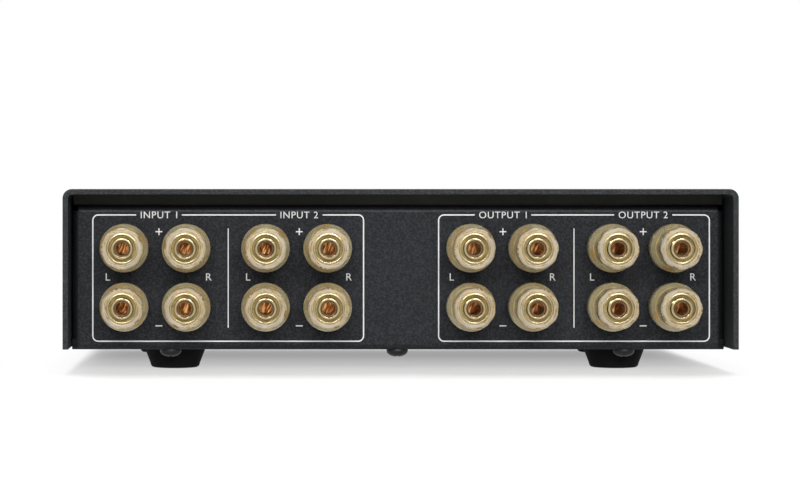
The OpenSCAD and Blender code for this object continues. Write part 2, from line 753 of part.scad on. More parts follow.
// The grub screw bears on the shaft's flat and ends inside the knob's wall
module knob_screw(x, turn) {
    start = shaft_d / 2 - shaft_flat;
    length = knob_d / 2 - start - grub_inset;
    color("#55575a") at_knob(x) rotate([0, 0, turn])
        translate([0, start, knob_gap + grub_up]) rotate([-90, 0, 0]) difference() {
            cylinder(d = grub_d, h = length);
            translate([0, 0, length - grub_socket_h])
                cylinder(d = grub_d / 2, h = grub_socket_h + cut, $fn = 6);
        }
}

module switch_nuts() {
    color("#c8ccd0") at_knobs() translate([0, 0, -nut_pocket_h])
        hex_nut(neck_nut_af, neck_d + 2 * seat_gap, neck_nut_h);
}

// ---- the part ----

top_cover();
base_tray();
rear_panel();
front_panel();
rear_board();
post_tubes();
post_collars();
post_bushes();
post_nuts();
feet();
foot_screws();
rear_panel_screws();
cover_screws();
front_panel_screws();
knob(knob_x, amp_throw / 2);  // amp_knob
knob_screw(knob_x, amp_throw / 2);  // amp_knob_screw
selector_shaft(knob_x, amp_throw / 2);  // amp_shaft
switch_front(knob_x);  // amp_switch_front
switch_case(knob_x);  // amp_switch_case
knob(-knob_x, speaker_throw / 2);  // speaker_knob
knob_screw(-knob_x, speaker_throw / 2);  // speaker_knob_screw
selector_shaft(-knob_x, speaker_throw / 2);  // speaker_shaft
switch_front(-knob_x);  // speaker_switch_front
switch_case(-knob_x);  // speaker_switch_case
switch_nuts();
switch_tags();
amp_wires();
speaker_wires();
for (p = POSTS) at_post(p) clamp_ring();
for (p = POSTS) at_post(p) cap(p[3]);
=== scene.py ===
"""The looks of a speaker selector switch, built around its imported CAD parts.

The rear panel faces +Y, X runs across the case and Z points up. Lengths are in metres.
"""

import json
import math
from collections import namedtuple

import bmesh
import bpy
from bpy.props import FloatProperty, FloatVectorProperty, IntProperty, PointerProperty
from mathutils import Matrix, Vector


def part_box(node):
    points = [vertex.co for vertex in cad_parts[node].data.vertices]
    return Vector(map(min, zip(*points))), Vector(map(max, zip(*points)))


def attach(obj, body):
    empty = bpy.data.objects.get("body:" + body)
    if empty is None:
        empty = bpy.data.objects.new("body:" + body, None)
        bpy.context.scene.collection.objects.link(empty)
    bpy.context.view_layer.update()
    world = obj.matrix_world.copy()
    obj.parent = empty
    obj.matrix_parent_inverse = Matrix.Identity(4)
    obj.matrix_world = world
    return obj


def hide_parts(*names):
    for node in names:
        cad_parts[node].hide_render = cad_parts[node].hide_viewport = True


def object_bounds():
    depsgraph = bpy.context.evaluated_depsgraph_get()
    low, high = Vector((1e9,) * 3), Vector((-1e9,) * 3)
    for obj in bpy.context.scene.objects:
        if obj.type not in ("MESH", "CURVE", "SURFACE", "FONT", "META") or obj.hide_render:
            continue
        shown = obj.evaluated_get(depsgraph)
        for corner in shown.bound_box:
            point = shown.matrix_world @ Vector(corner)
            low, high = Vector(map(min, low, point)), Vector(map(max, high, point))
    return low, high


bl_info = {
    "name": "Speaker selector switch",
    "version": (1, 0, 0),
    "blender": (4, 5, 0),
    "location": "3D Viewport > Sidebar > Selector",
    "description": "Finishes the parts of a speaker selector switch and lights them",
    "category": "Object",
}

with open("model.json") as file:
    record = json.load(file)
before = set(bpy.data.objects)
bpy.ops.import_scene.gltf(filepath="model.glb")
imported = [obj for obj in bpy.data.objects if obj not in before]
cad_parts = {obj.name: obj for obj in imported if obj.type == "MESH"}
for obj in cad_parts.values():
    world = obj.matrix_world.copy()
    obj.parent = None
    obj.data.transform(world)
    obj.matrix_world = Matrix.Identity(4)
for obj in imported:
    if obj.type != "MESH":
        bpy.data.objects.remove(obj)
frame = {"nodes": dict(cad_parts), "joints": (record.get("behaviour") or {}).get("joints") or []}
CAD_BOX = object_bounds()

MM = 0.001

# Places that the frame gives
POSTS = [name[len("cap_"):] for name in sorted(frame["nodes"]) if name.startswith("cap_")]
PANEL_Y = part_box("rear_panel")[1].y
REAR_EDGE_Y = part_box("top_cover")[1].y
FRONT_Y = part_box("front_panel")[0].y
TUBE_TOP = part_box("post_tubes")[1].y - PANEL_Y
STUD_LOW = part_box("post_tubes")[0].y - PANEL_Y
COLLAR_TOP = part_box("post_collars")[1].y - PANEL_Y


# ---- shader nodes ----

class Term:
    """One output of a shader node. Arithmetic on it adds Math nodes to its tree."""

    def __init__(self, shader, socket):
        self.shader = shader
        self.socket = socket

    def math(self, operation, *others):
        """A Math node on this output, then the others."""
        return self.shader.maths(operation, self, *others)

    def __add__(self, other):
        return self.math("ADD", other)

    def __radd__(self, other):
        return self.shader.maths("ADD", other, self)

    def __sub__(self, other):
        return self.math("SUBTRACT", other)

    def __rsub__(self, other):
        return self.shader.maths("SUBTRACT", other, self)

    def __mul__(self, other):
        return self.math("MULTIPLY", other)

    def __rmul__(self, other):
        return self.shader.maths("MULTIPLY", other, self)


class Shader:
    """The node tree of one material or world."""

    def __init__(self, owner):
        owner.use_nodes = True
        self.owner = owner
        self.tree = owner.node_tree
        self.tree.nodes.clear()

    def node(self, kind, settings=None, sockets=None, output=0):
        """Adds a node with its settings, then its sockets' values or links."""
        made = self.tree.nodes.new(kind)
        for name, value in (settings or {}).items():
            if name == "stops":
                self.set_stops(made.color_ramp, value)
            else:
                setattr(made, name, value)
        for name, value in (sockets or {}).items():
            self.fill(made.inputs[name], value)
        return Term(self, made.outputs[output]) if made.outputs else None

    def set_stops(self, ramp, stops):
        """Gives a ramp its stops, each a position and a grey or a colour."""
        while len(ramp.elements) < len(stops):
            ramp.elements.new(1.0)
        for element, (position, value) in zip(ramp.elements, stops):
            element.position = position
            element.color = (*value, 1.0) if isinstance(value, tuple) else (value, value, value, 1.0)

    def fill(self, socket, value):
        if isinstance(value, Term):
            self.tree.links.new(value.socket, socket)
        elif socket.type == "RGBA" and len(value) == 3:
            socket.default_value = (*value, 1.0)
        else:
            socket.default_value = value

    def maths(self, operation, *terms):
        return self.node("ShaderNodeMath", {"operation": operation}, dict(enumerate(terms)))

    def place(self):
        return self.node("ShaderNodeTexCoord", output="Object")

    def axis(self, place, index):
        """One of a place's numbers: 0 for X, 1 for Y and 2 for Z."""
        return self.node("ShaderNodeSeparateXYZ", {}, {"Vector": place}, index)

    def stretched(self, place, scale):
        """The place with its axes scaled, to draw a texture out along one of them."""
        return self.node("ShaderNodeMapping", {}, {"Vector": place, "Scale": scale})

    def vector(self, operation, first, second=None, scale=None, output=0):
        """Vector maths on a place and another vector or a scale."""
        sockets = {0: first}
        if second is not None:
            sockets[1] = second
        if scale is not None:
            sockets["Scale"] = scale
        return self.node("ShaderNodeVectorMath", {"operation": operation}, sockets, output)

    def noise(self, place, scale, detail=2.0):
        sockets = {"Vector": place, "Scale": scale, "Detail": detail}
        return self.node("ShaderNodeTexNoise", {}, sockets)

    def streaks_round(self, place, fineness):
        """Streaks drawn out round the Z axis, and the distance from that axis."""
        across = self.vector("MULTIPLY", place, (1.0, 1.0, 0.0))
        radius = self.vector("LENGTH", across, output=1)
        rise = self.node("ShaderNodeCombineXYZ", {}, {"Z": (radius + self.axis(place, 2)) * fineness})
        round_axis = self.vector("SCALE", self.vector("NORMALIZE", across), scale=1.7)
        return self.noise(self.vector("ADD", round_axis, rise), 1.0, 3.0), radius

    def ramp(self, value, *stops):
        return self.node("ShaderNodeValToRGB", {"stops": stops}, {"Fac": value})

    def between(self, factor, low, high):
        """A number that goes from low to high with the factor."""
        return factor * (high - low) + low

    def blend(self, factor, first, second):
        """A colour that goes from the first to the second with the factor."""
        sockets = {0: factor, 6: first, 7: second}
        return self.node("ShaderNodeMix", {"data_type": "RGBA"}, sockets, output=2)

    def bump(self, height, depth):
        """A normal from a height of 0 to 1 that stands for so many metres."""
        return self.node("ShaderNodeBump", {}, {"Height": height, "Distance": depth})

    def finish(self, sockets):
        """Ends the tree in a Principled shader with these sockets, and returns the material."""
        surface = self.node("ShaderNodeBsdfPrincipled", {}, sockets)
        self.node("ShaderNodeOutputMaterial", {}, {"Surface": surface})
        return self.owner


def new_shader(name):
    """The shader of a new material, and the place of each point in its object."""
    shader = Shader(bpy.data.materials.new(name))
    return shader, shader.place()


def shade(colour, factor):
    """A colour made lighter or darker by a factor."""
    return tuple(min(1.0, channel * factor) for channel in colour[:3])


# ---- materials ----

def powder_coat(name, colour, coat, flat=None):
    """Sprayed powder paint: round hills close together, with small pale specks, a painted glint on its
    grain.

    The half width and the height of a flat face set where painted shade darkens the coat on the bends
    past them, and where a painted highlight makes it pale along the start of the upper bend.
    """
    shader, place = new_shader(name)
    hills = shader.noise(place, coat.grain, 3.0)
    # Painted highlight: small pale specks stand in for glints on the grain of the coat.
    glint_specks = shader.ramp(shader.noise(place, coat.grain * 0.8, 1.0), (0.42, 0.0), (0.66, 1.0))
    cloud = shader.noise(place, coat.grain / 60, 2.0)
    ground = shader.blend(cloud, shade(colour, 0.80), shade(colour, 1.0))
    tone = shader.blend(glint_specks * coat.speckle, ground, shade(colour, 2.6))
    roughness = shader.between(hills, 0.55, 0.75)
    if flat:
        past_side = (shader.axis(place, 0).math("ABSOLUTE") - flat[0]) * (1 / coat.bend_r)
        past_head = (shader.axis(place, 2) - flat[1]) * (1 / coat.bend_r)
        # Painted highlight: a pale band along the start of the upper bend, where the coat is also less
        # rough.
        painted_highlight = shader.ramp(past_head + 0.5, (0.25, 0.0), (0.38, 1.0), (0.52, 1.0), (0.64, 0.0))
        painted_highlight = painted_highlight * shader.ramp(past_side + 0.8, (0.2, 1.0), (0.8, 0.0))
        bent = (past_side + 0.15).math("MAXIMUM", past_head - 0.12)
        tone = shader.blend(painted_highlight * (0.5 + glint_specks * 0.5), tone, shade(colour, 4.0))
        # Painted shade: the coat goes near black on the bends past the flat face.
        dark = shader.ramp(bent, (0.0, 0.0), (0.25, 0.75))
        tone = shader.blend(dark, tone, (0.0, 0.0, 0.0))
        roughness = roughness - painted_highlight * 0.2
    return shader.finish({
        "Base Color": tone,
        "Roughness": roughness,
        "Specular IOR Level": 0.12,
        "Normal": shader.bump(hills, coat.hill_height),
    })


def anodised(name, colour):
    """Black anodised aluminium with a fine brushed grain along the case."""
    shader, place = new_shader(name)
    grain = shader.noise(shader.stretched(place, (12.0, 900.0, 2600.0)), 1.0, 3.0)
    cloud = shader.noise(place, 30.0)
    tone = shader.blend(grain, shade(colour, 0.75), shade(colour, 1.35))
    return shader.finish({
        "Base Color": tone,
        "Metallic": 0.55,
        "Roughness": shader.between(grain, 0.3, 0.44) + shader.between(cloud, -0.03, 0.03),
        "Normal": shader.bump(grain, 4e-6),
    })


# Scale and detail of the mottling, its two tones and what it adds to the roughness, then the
# scale of the tool lines along each axis and their depth
Marks = namedtuple("Marks", "cloud detail tones spread stretch depth")
TURNED = Marks(420.0, 3.0, (0.82, 1.08), (-0.05, 0.06), (300.0, 9000.0, 300.0), 2e-6)
SPUN = Marks(600.0, 3.0, (0.80, 1.08), (-0.05, 0.06), (200.0, 200.0, 8000.0), 3e-6)
PLATED = Marks(500.0, 4.0, (0.75, 1.25), (-0.07, 0.09), (3200.0, 3200.0, 3200.0), 4e-6)


def metal(name, colour, roughness, marks, metallic=1.0):
    """Plated metal with a mottled tone: turned about Y, spun about its local Z, or only plated."""
    shader, place = new_shader(name)
    cloud = shader.noise(place, marks.cloud, marks.detail)
    lines = shader.noise(shader.stretched(place, marks.stretch), 1.0, 2.0)
    dark, light = [shade(colour, factor) for factor in marks.tones]
    low, high = [roughness + change for change in marks.spread]
    return shader.finish({
        "Base Color": shader.blend(cloud, dark, light),
        "Metallic": metallic,
        "Roughness": shader.between(cloud, low, high),
        "Normal": shader.bump(lines, marks.depth),
    })


def ridged_gold(name, colour, count):
    """Rougher plate on so many fine ridges round the local Z, with painted shade between them and a
    painted highlight on them, mixed with a random mottle.
    """
    shader, place = new_shader(name)
    turn = shader.axis(place, 1).math("ARCTAN2", shader.axis(place, 0))
    ridges = (turn * count).math("SINE")
    cloud = shader.noise(place, 700.0, 2.0)
    # Painted shade between the ridges and a painted highlight on them, mixed with the mottle.
    light = shader.ramp(ridges * 0.35 + cloud * 0.65, (0.2, 0.0), (0.65, 1.0))
    return shader.finish({
        "Base Color": shader.blend(light, shade(colour, 0.45), shade(colour, 1.5)),
        "Metallic": 1.0,
        "Roughness": shader.between(cloud, 0.28, 0.45),
        "Normal": shader.bump(cloud, 2e-5),
    })


def bore_wall(name, colour):
    """The wall of a plug's bore: bare brass with leaning streaks along the bore, from darker than the
    brass to a pale gold glint, a painted highlight.
    """
    shader, place = new_shader(name)
    leaning = shader.node("ShaderNodeMapping", {}, {"Vector": place, "Rotation": (0.0, 0.35, 0.0)})
    streaks = shader.noise(shader.stretched(leaning, (1700.0, 60.0, 300.0)), 1.0, 1.0)
    # Painted highlight: the pale gold glint along the streaks.
    glint = (0.95, 0.66, 0.28)
    tone = shader.ramp(streaks, (0.42, shade(colour, 0.35)), (0.50, tuple(colour)), (0.62, glint))
    return shader.finish({
        "Base Color": tone,
        "Metallic": 1.0,
        "Roughness": shader.between(streaks, 0.25, 0.5),
        "Normal": shader.bump(streaks, 1e-5),
    })


def frosted_plastic(name, colour, tint):
    """The milky end of a cap: streaks round its axis, where its mould shows, in tones from a painted
    reflection of the brass inside to a paler, bluer tone, with spots of painted brass glint.
    """
    shader, place = new_shader(name)
    streaks, radius = shader.streaks_round(place, 2200.0)
    rings = (radius * 14000.0).math("SINE")
    pale = tuple(min(1.0, c * gain) for c, gain in zip(colour, (1.2, 1.25, 1.5)))
    # Painted reflection: the tint stands in for the brass inside, seen through the plastic.
    tone = shader.ramp(streaks, (0.40, tuple(tint)), (0.48, tuple(colour)), (0.60, pale))
    # Painted highlight: spots of brighter brass glint.
    painted_brass_glints = shader.ramp(shader.noise(place, 190.0, 1.0), (0.44, 0.45), (0.58, 0.0))
    tone = shader.blend(painted_brass_glints, tone, shade(tint, 1.7))
    return shader.finish({
        "Base Color": tone,
        "Transmission Weight": 0.70,
        "IOR": 1.49,
        "Roughness": shader.between(streaks, 0.16, 0.42),
        "Normal": shader.bump(rings * 0.3 + streaks, 5e-5),
    })


def clear_plastic(name, colour, roughness, tint=None):
    """Clear moulded plastic with faint flow lines and a satin from handling.

    A tint streaks it round its axis: a painted reflection of the brass inside.
    """
    shader, place = new_shader(name)
    flow = shader.noise(place, 260.0, 3.0)
    haze = shader.noise(place, 1500.0, 2.0)
    tone = shader.blend(flow, shade(colour, 0.97), colour[:3])
    if tint:
        # Painted reflection: the tint stands in for the brass inside, seen through the plastic.
        streaks, _ = shader.streaks_round(place, 1300.0)
        stops = ((0.36, tuple(tint)), (0.46, tuple(colour)), (0.64, shade(colour, 1.1)))
        tone = shader.ramp(streaks, *stops)
    return shader.finish({
        "Base Color": tone,
        "Transmission Weight": 0.78,
        "IOR": 1.49,
        "Roughness": shader.between(haze, roughness * 0.4, roughness * 1.6),
        "Normal": shader.bump(flow, 3e-5),
    })


def rubber(name, colour):
    """Matt rubber with a fine open grain."""
    shader, place = new_shader(name)
    grain = shader.noise(place, 2200.0, 4.0)
    dust = shader.ramp(shader.noise(place, 140.0, 3.0), (0.5, 0.0), (0.85, 1.0))
    tone = shader.blend(dust * 0.35, colour, shade(colour, 1.9))
    return shader.finish({
        "Base Color": tone,
        "Roughness": shader.between(grain, 0.68, 0.86),
        "Specular IOR Level": 0.12,
        "Normal": shader.bump(grain, 2e-5),
    })


def moulding(name, colour, roughness=0.5):
    """Moulded plastic with a fine spark-eroded grain."""
    shader, place = new_shader(name)
    grain = shader.noise(place, 3000.0, 3.0)
    cloud = shader.noise(place, 90.0, 2.0)
    return shader.finish({
        "Base Color": shader.blend(cloud, shade(colour, 0.9), shade(colour, 1.1)),
        "Roughness": shader.between(grain, roughness - 0.08, roughness + 0.1),
        "Normal": shader.bump(grain, 8e-6),
    })


def circuit_board(name, colour):
    """Green board: the copper under the mask shows as a slightly lighter pattern."""
    shader, place = new_shader(name)
    copper = shader.ramp(shader.noise(place, 70.0, 0.0), (0.49, 0.0), (0.51, 1.0))
    weave = shader.noise(shader.stretched(place, (1800.0, 300.0, 1800.0)), 1.0, 1.0)
    return shader.finish({
        "Base Color": shader.blend(copper, colour, shade(colour, 1.5)),
        "Roughness": shader.between(weave, 0.3, 0.42),
        "Normal": shader.bump(copper * 0.8 + weave * 0.2, 3e-5),
    })


def ink(name, colour):
    """Screen-printed ink: even, matt, thinner in places."""
    shader, place = new_shader(name)
    cover = shader.noise(place, 2600.0, 2.0)
    return shader.finish({
        "Base Color": shader.blend(cover, shade(colour, 0.84), colour[:3]),
        "Roughness": shader.between(cover, 0.5, 0.65),
        "Normal": shader.bump(cover, 6e-6),
    })


# ---- meshes ----

def eased(corners, steps=3):
    """An outline of (radius, height) points, with each corner of (radius, height, ease) rounded."""
    points = []
    for index, corner in enumerate(corners):
        here = Vector(corner[:2])
        ease = corner[2] if len(corner) > 2 else 0.0
        if ease == 0.0:
            points.append(here)
            continue
        before = Vector(corners[index - 1][:2])
        after = Vector(corners[(index + 1) % len(corners)][:2])
        start = here + (before - here).normalized() * ease
        end = here + (after - here).normalized() * ease
        for step in range(steps + 1):
            t = step / steps
            points.append(start * (1 - t) ** 2 + here * 2 * t * (1 - t) + end * t ** 2)
    return points


def plain(points):
    """Rings that are true circles."""
    return [lambda turn, p=point: (p[0], p[1]) for point in points]


def ridged(points, count, depth, along=False):
    """Rings with so many ridges round them, cut into their radius or along their height."""
    def ring(turn, p):
        dip = depth * (round(turn * 2 * count) % 2)
        return (p[0], p[1] - dip) if along else (p[0] - dip, p[1])
    return [lambda turn, p=point: ring(turn, p) for point in points]


def cross_knurled(radius, low, high, rows, count, depth):
    """Rings of a cross knurl: so many rows of points, each row half a point on from the last."""
    def ring(turn, row):
        dip = depth * ((round(turn * 2 * count) + row) % 2)
        return radius - dip, low + (high - low) * row / rows
    return [lambda turn, n=row: ring(turn, n) for row in range(rows + 1)]


def threaded(radius, low, high, pitch, depth, steps=6):
    """Rings of a screw thread between two heights."""
    count = round((high - low) / pitch * steps)

    def ring(turn, height):
        phase = (height / pitch - turn) % 1.0
        return radius - depth * abs(2 * phase - 1) ** 0.8, height
    return [lambda turn, h=low + (high - low) * n / count: ring(turn, h) for n in range(count + 1)]


def skin(form, loops, closed=False):
    """Joins loops of vertices with faces. The last loop meets the first, or both are filled."""
    pairs = list(zip(loops, loops[1:]))
    if closed:
        pairs.append((loops[-1], loops[0]))
    else:
        form.faces.new(loops[0][::-1])
        form.faces.new(loops[-1])
    for low, high in pairs:
        for index in range(len(low)):
            after = (index + 1) % len(low)
            form.faces.new((low[index], low[after], high[after], high[index]))


def revolve(rings, sides, closed=False):
    """A mesh turned about Z, through rings that give a radius and a height for a share of a turn."""
    form = bmesh.new()
    loops = []
    for ring in rings:
        loop = []
        for side in range(sides):
            radius, height = ring(side / sides)
            angle = math.tau * side / sides
            loop.append(form.verts.new((radius * math.cos(angle), radius * math.sin(angle), height)))
        loops.append(loop)
    skin(form, loops, closed)
    bmesh.ops.recalc_face_normals(form, faces=form.faces)
    return form


def flat_mesh(name, form):
    """Ends a bmesh as it stands."""
    mesh = bpy.data.meshes.new(name)
    form.to_mesh(mesh)
    form.free()
    return mesh


def as_mesh(name, form, sharp_angle=40.0):
    """Ends a bmesh: a mesh with smooth faces and edges kept sharp past an angle."""
    mesh = flat_mesh(name, form)
    mesh.shade_smooth()
    mesh.set_sharp_from_angle(angle=math.radians(sharp_angle))
    return mesh


def copies(name, mesh, places):
    """One mesh that holds a copy of another at each place."""
    form = bmesh.new()
    for place in places:
        copy = mesh.copy()
        copy.transform(place)
        form.from_mesh(copy)
        bpy.data.meshes.remove(copy)
    return flat_mesh(name, form)


def add_piece(name, mesh, materials, body, replaced=(), place=None):
    """Puts a mesh in the scene as a piece that rides on a body."""
    piece = bpy.data.objects.new(name, mesh)
    bpy.context.scene.collection.objects.link(piece)
    if place is not None:
        piece.matrix_world = place
    if not mesh.materials:
        for material in materials:
            mesh.materials.append(material)
    weighted = piece.modifiers.new("even faces", "WEIGHTED_NORMAL")
    weighted.keep_sharp = True
    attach(piece, body)
    if replaced:
        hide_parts(*replaced)
    return piece


def dress(node, material, ease=0.0):
    """Gives a CAD node its finish, and rounds its edges by so many metres."""
    piece = frame["nodes"][node]
    for holder in piece.material_slots:
        holder.link = "OBJECT"
        holder.material = material
    if ease == 0.0:
        return
    weld = piece.modifiers.new("joined corners", "WELD")
    weld.merge_threshold = 1e-6
    flat = piece.modifiers.new("whole faces", "DECIMATE")
    flat.decimate_type = "DISSOLVE"
    flat.angle_limit = math.radians(0.5)
    bevel = piece.modifiers.new("eased edges", "BEVEL")
    bevel.width = ease
    bevel.segments = 2
    bevel.limit_method = "ANGLE"
    bevel.angle_limit = math.radians(35.0)
    bevel.harden_normals = True


# ---- places ----

def middle(node):
    low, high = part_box(node)
    return (low + high) / 2


def post_place(post):
    """The frame of a post: its origin on the panel, Z out of the panel and X across."""
    centre = middle("clamp_ring_" + post)
    return Matrix.Translation((centre.x, PANEL_Y, centre.z)) @ Matrix.Rotation(-math.pi / 2, 4, "X")


def grip_turn(post):
    """How far the eight-sided grip of a cap is turned, from the corners of its CAD node."""
    inverse = post_place(post).inverted()
    grip_low = TUBE_TOP - 6 * MM
    corners = [inverse @ v.co for v in frame["nodes"]["cap_" + post].data.vertices]
    grip = [v for v in corners if v.z > grip_low]
    far = max(grip, key=lambda v: v.xy.length)
    return math.atan2(far.y, far.x)


def throw(selector):
    """How far a selector turns from its first position to its last, in degrees."""
    return next(j for j in frame["joints"] if j["child"] == selector)["range_deg"][1]


def knob_place(selector):
    """The frame of a knob: its origin on the front panel, Z out of it and Y up to the pointer."""
    centre = middle(selector.replace("_selector", "_shaft"))
    turn = math.radians(throw(selector) / 2)
    upright = Matrix.Rotation(math.pi / 2, 4, "X") @ Matrix.Rotation(turn, 4, "Z")
    return Matrix.Translation((centre.x, FRONT_Y, centre.z)) @ upright


def facing(side, y):
    """The frame of a panel's face, seen from outside: X right, Y up. Side is 1 behind, -1 in front."""
    return Matrix(((-side, 0, 0, 0), (0, 0, side, y), (0, 1, 0, 0), (0, 0, 0, 1)))


# ---- sizes and colours ----

def length(name, description, default, **limits):
    return FloatProperty(name=name, description=description, default=default,
                         subtype="DISTANCE", unit="LENGTH", precision=5, **limits)


def colour(name, description, default):
    return FloatVectorProperty(name=name, description=description, default=default,
                               subtype="COLOR", size=3, min=0.0, max=1.0)


class CoatSettings(bpy.types.PropertyGroup):
    """Paint and metal of the case."""

    panel: colour("Rear panel", "Powder coat of the rear panel and the base", (0.0140, 0.0149, 0.0175))
    cover: colour("Cover", "Powder coat of the top cover", (0.0175, 0.0193, 0.0202))
    front: colour("Front panel", "Anodised front panel and knobs", (0.022, 0.022, 0.024))
    grain: FloatProperty(name="Grain", description="Hills of the coat per metre", default=2400.0)
    # The specks are a painted highlight: glints on the coat's grain.
    speckle: FloatProperty(name="Speckle", description="Strength of the lighter specks", default=0.7)
    hill_height: length("Hill height", "Height of the hills of the coat", 0.00004)
    sheet_ease: length("Sheet edge", "Rounding of the sheets' edges", 0.00025)
    cover_t: length("Cover sheet", "Thickness of the cover's sheet", 0.0017)
    bend_r: length("Bend", "Outer radius of the rear panel's bends", 0.002)
    rubber: colour("Rubber", "Feet", (0.0035, 0.0035, 0.0035))
    # The dark strip over the rear panel is painted shade: it fills the gap between the panel's top and
    # the cover.
    foam: colour("Foam", "Foam strip over the rear panel", (0.024, 0.024, 0.021))
    strip_in: length("Seal", "How far the foam strip lies behind the panel's face", 0.0012)
    strip_d: length("Seal depth", "Depth of the foam strip", 0.005)
    panel_ease: length("Panel edge", "Rounding of the front panel's edges", 0.00015)


class PostSettings(bpy.types.PropertyGroup):
    """Binding posts and their caps."""

    gold: colour("Gold", "Gold plate", (0.46, 0.375, 0.21))
    # The recess's plate gets painted shade between its ridges and a painted highlight on them.
    dark_gold: colour("Dark gold", "Plate in the recess of the insert's end", (0.50, 0.41, 0.22))
    # The knurls' plate is a much lighter copy of the gold: painted light, so that they show through the
    # cap.
    knurl_gold: colour("Knurled gold", "Knurls of the insert, seen through the cap", (0.98, 0.74, 0.28))
    bore: colour("Bore", "Wall of the plug's bore", (0.34, 0.13, 0.045))
    # The mouth's plate is painted far lighter than the post's gold: painted light inside the mouth of
    # the bore.
    mouth: colour("Mouth", "Plate at the mouth of the bore", (0.98, 0.70, 0.46))
    # The ledge's plate is a much darker copy of the post's gold: painted shade round the mouth of the
    # bore.
    ledge: colour("Ledge", "Ledge round the mouth of the bore", (0.12, 0.070, 0.030))
    frost: colour("Frosted plastic", "Ends of the caps", (0.66, 0.58, 0.42))
    # Painted reflection of the brass inside the caps' ends.
    frost_tint: colour("Frosted tint", "Streaks where the brass shows through", (0.48, 0.36, 0.18))
    plastic: colour("Clear plastic", "Caps and collars", (1.0, 0.90, 0.64))
    # Painted reflection of the brass inside the caps' sides.
    plastic_tint: colour("Plastic tint", "Streaks round the caps' sides", (0.92, 0.66, 0.30))
    haze: FloatProperty(name="Haze", description="Roughness of the clear plastic", default=0.09)
    thread_pitch: length("Thread pitch", "Distance between the thread's crests", 0.001)
    thread_depth: length("Thread depth", "Depth of the thread", 0.00035)
    knurls: IntProperty(name="Knurls", description="Ridges round the insert", default=60)
    grip_r: length("Grip", "Radius of the grip at its corners", 0.0071)
    grip_blunt_r: length("Grip corners", "Radius that the grip's corners are rubbed down to", 0.0067)
    grip_dish: length("Grip dish", "How far each side of the grip is dished", 0.00008)
    grip_ease: length("Grip end", "Rounding of the grip's end", 0.0008)


class PrintSettings(bpy.types.PropertyGroup):
    """White print on the panels."""

    ink: colour("Ink", "Printed lines and marks", (0.80, 0.80, 0.80))
    ink_t: length("Thickness", "Thickness of the ink", 0.00003)
    line_w: length("Line", "Width of the printed lines", 0.0004)
    label_h: length("Labels", "Height of the labels' capitals", 0.0022)
    mark_h: length("Side marks", "Height of the L and R marks", 0.00235)
    offset: length("Offset", "How far the print sits to the right of the posts", 0.0010)
    frame_w: length("Frame", "Width of the frame round two groups", 0.0880)
    frame_out: length("Frame shift", "How far each frame sits outward of its groups", 0.0003)
    frame_low: length("Frame foot", "Height of the frame's lower line", 0.00965)
    frame_high: length("Frame head", "Height of the frame's upper line", 0.0507)
    frame_r: length("Frame corner", "Radius of the frame's corners", 0.00175)
    divider_w: length("Divider line", "Width of the dividers", 0.0003)
    divider_in: length("Divider", "How far the divider ends inside the frame", 0.0044)
    label_gap: length("Label gap", "Space between a label and the line beside it", 0.0015)
    side_left: length("Left mark", "Distance of the L mark from the group's middle", 0.0166)
    side_right: length("Right mark", "Distance of the R mark from the group's middle", 0.0162)
    sign_rise: length("Signs", "Distance of the plus and minus signs from the posts' middle", 0.0153)
    sign_drop: length("Sign drop", "How far the signs' middle lies below the posts' middle", 0.0006)
    sign_line_w: length("Sign line", "Width of the signs' strokes", 0.00037)
    sign_w: length("Sign width", "Width of the plus and minus signs", 0.0022)
    dial_r: length("Dial", "Distance of the dial numbers from the knob's axis", 0.0205)
    tick_r: length("Ticks", "Distance of the ticks' inner ends from the knob's axis", 0.0164)
    tick_l: length("Tick length", "Length of a tick", 0.0018)


class StageSettings(bpy.types.PropertyGroup):
    """Camera, floor and lamps."""

    camera: FloatVectorProperty(name="Camera", description="Place of the camera", subtype="XYZ",
                                unit="LENGTH", default=(0.0485, REAR_EDGE_Y + 0.840, 0.05555))
    lens: FloatProperty(name="Lens", description="Focal length in millimetres", default=118.37)
    shift: FloatVectorProperty(name="Shift", description="Shift of the camera's frame", size=2,
                               default=(0.189, -0.05))
    floor: colour("Floor", "Plain floor", (0.80, 0.80, 0.80))
    floor_size: length("Floor size", "Width of the floor", 5.0)
    ambient: FloatProperty(name="Ambient", description="Strength of the world's light", default=0.32)


# ---- the case ----

class SELECTOR_OT_case(bpy.types.Operator):
    """Coats the sheets and finishes the front panel"""

    bl_idname = "selector.case"
    bl_label = "Case"

    def execute(self, context):
        coat = context.scene.selector_coats
        dress("top_cover", powder_coat("cover_coat", coat.cover, coat), ease=coat.sheet_ease)
        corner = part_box("rear_panel")[1]
        flat = (corner.x - coat.bend_r, corner.z - coat.bend_r)
        # The rear panel's coat gets painted shade on its bends and a painted highlight along its upper
        # bend.
        dress("rear_panel", powder_coat("panel_coat", coat.panel, coat, flat), ease=coat.sheet_ease)
        dress("base_tray", powder_coat("base_coat", coat.panel, coat), ease=coat.sheet_ease)
        dress("front_panel", anodised("front_anodising", coat.front), ease=coat.panel_ease)
        return {"FINISHED"}


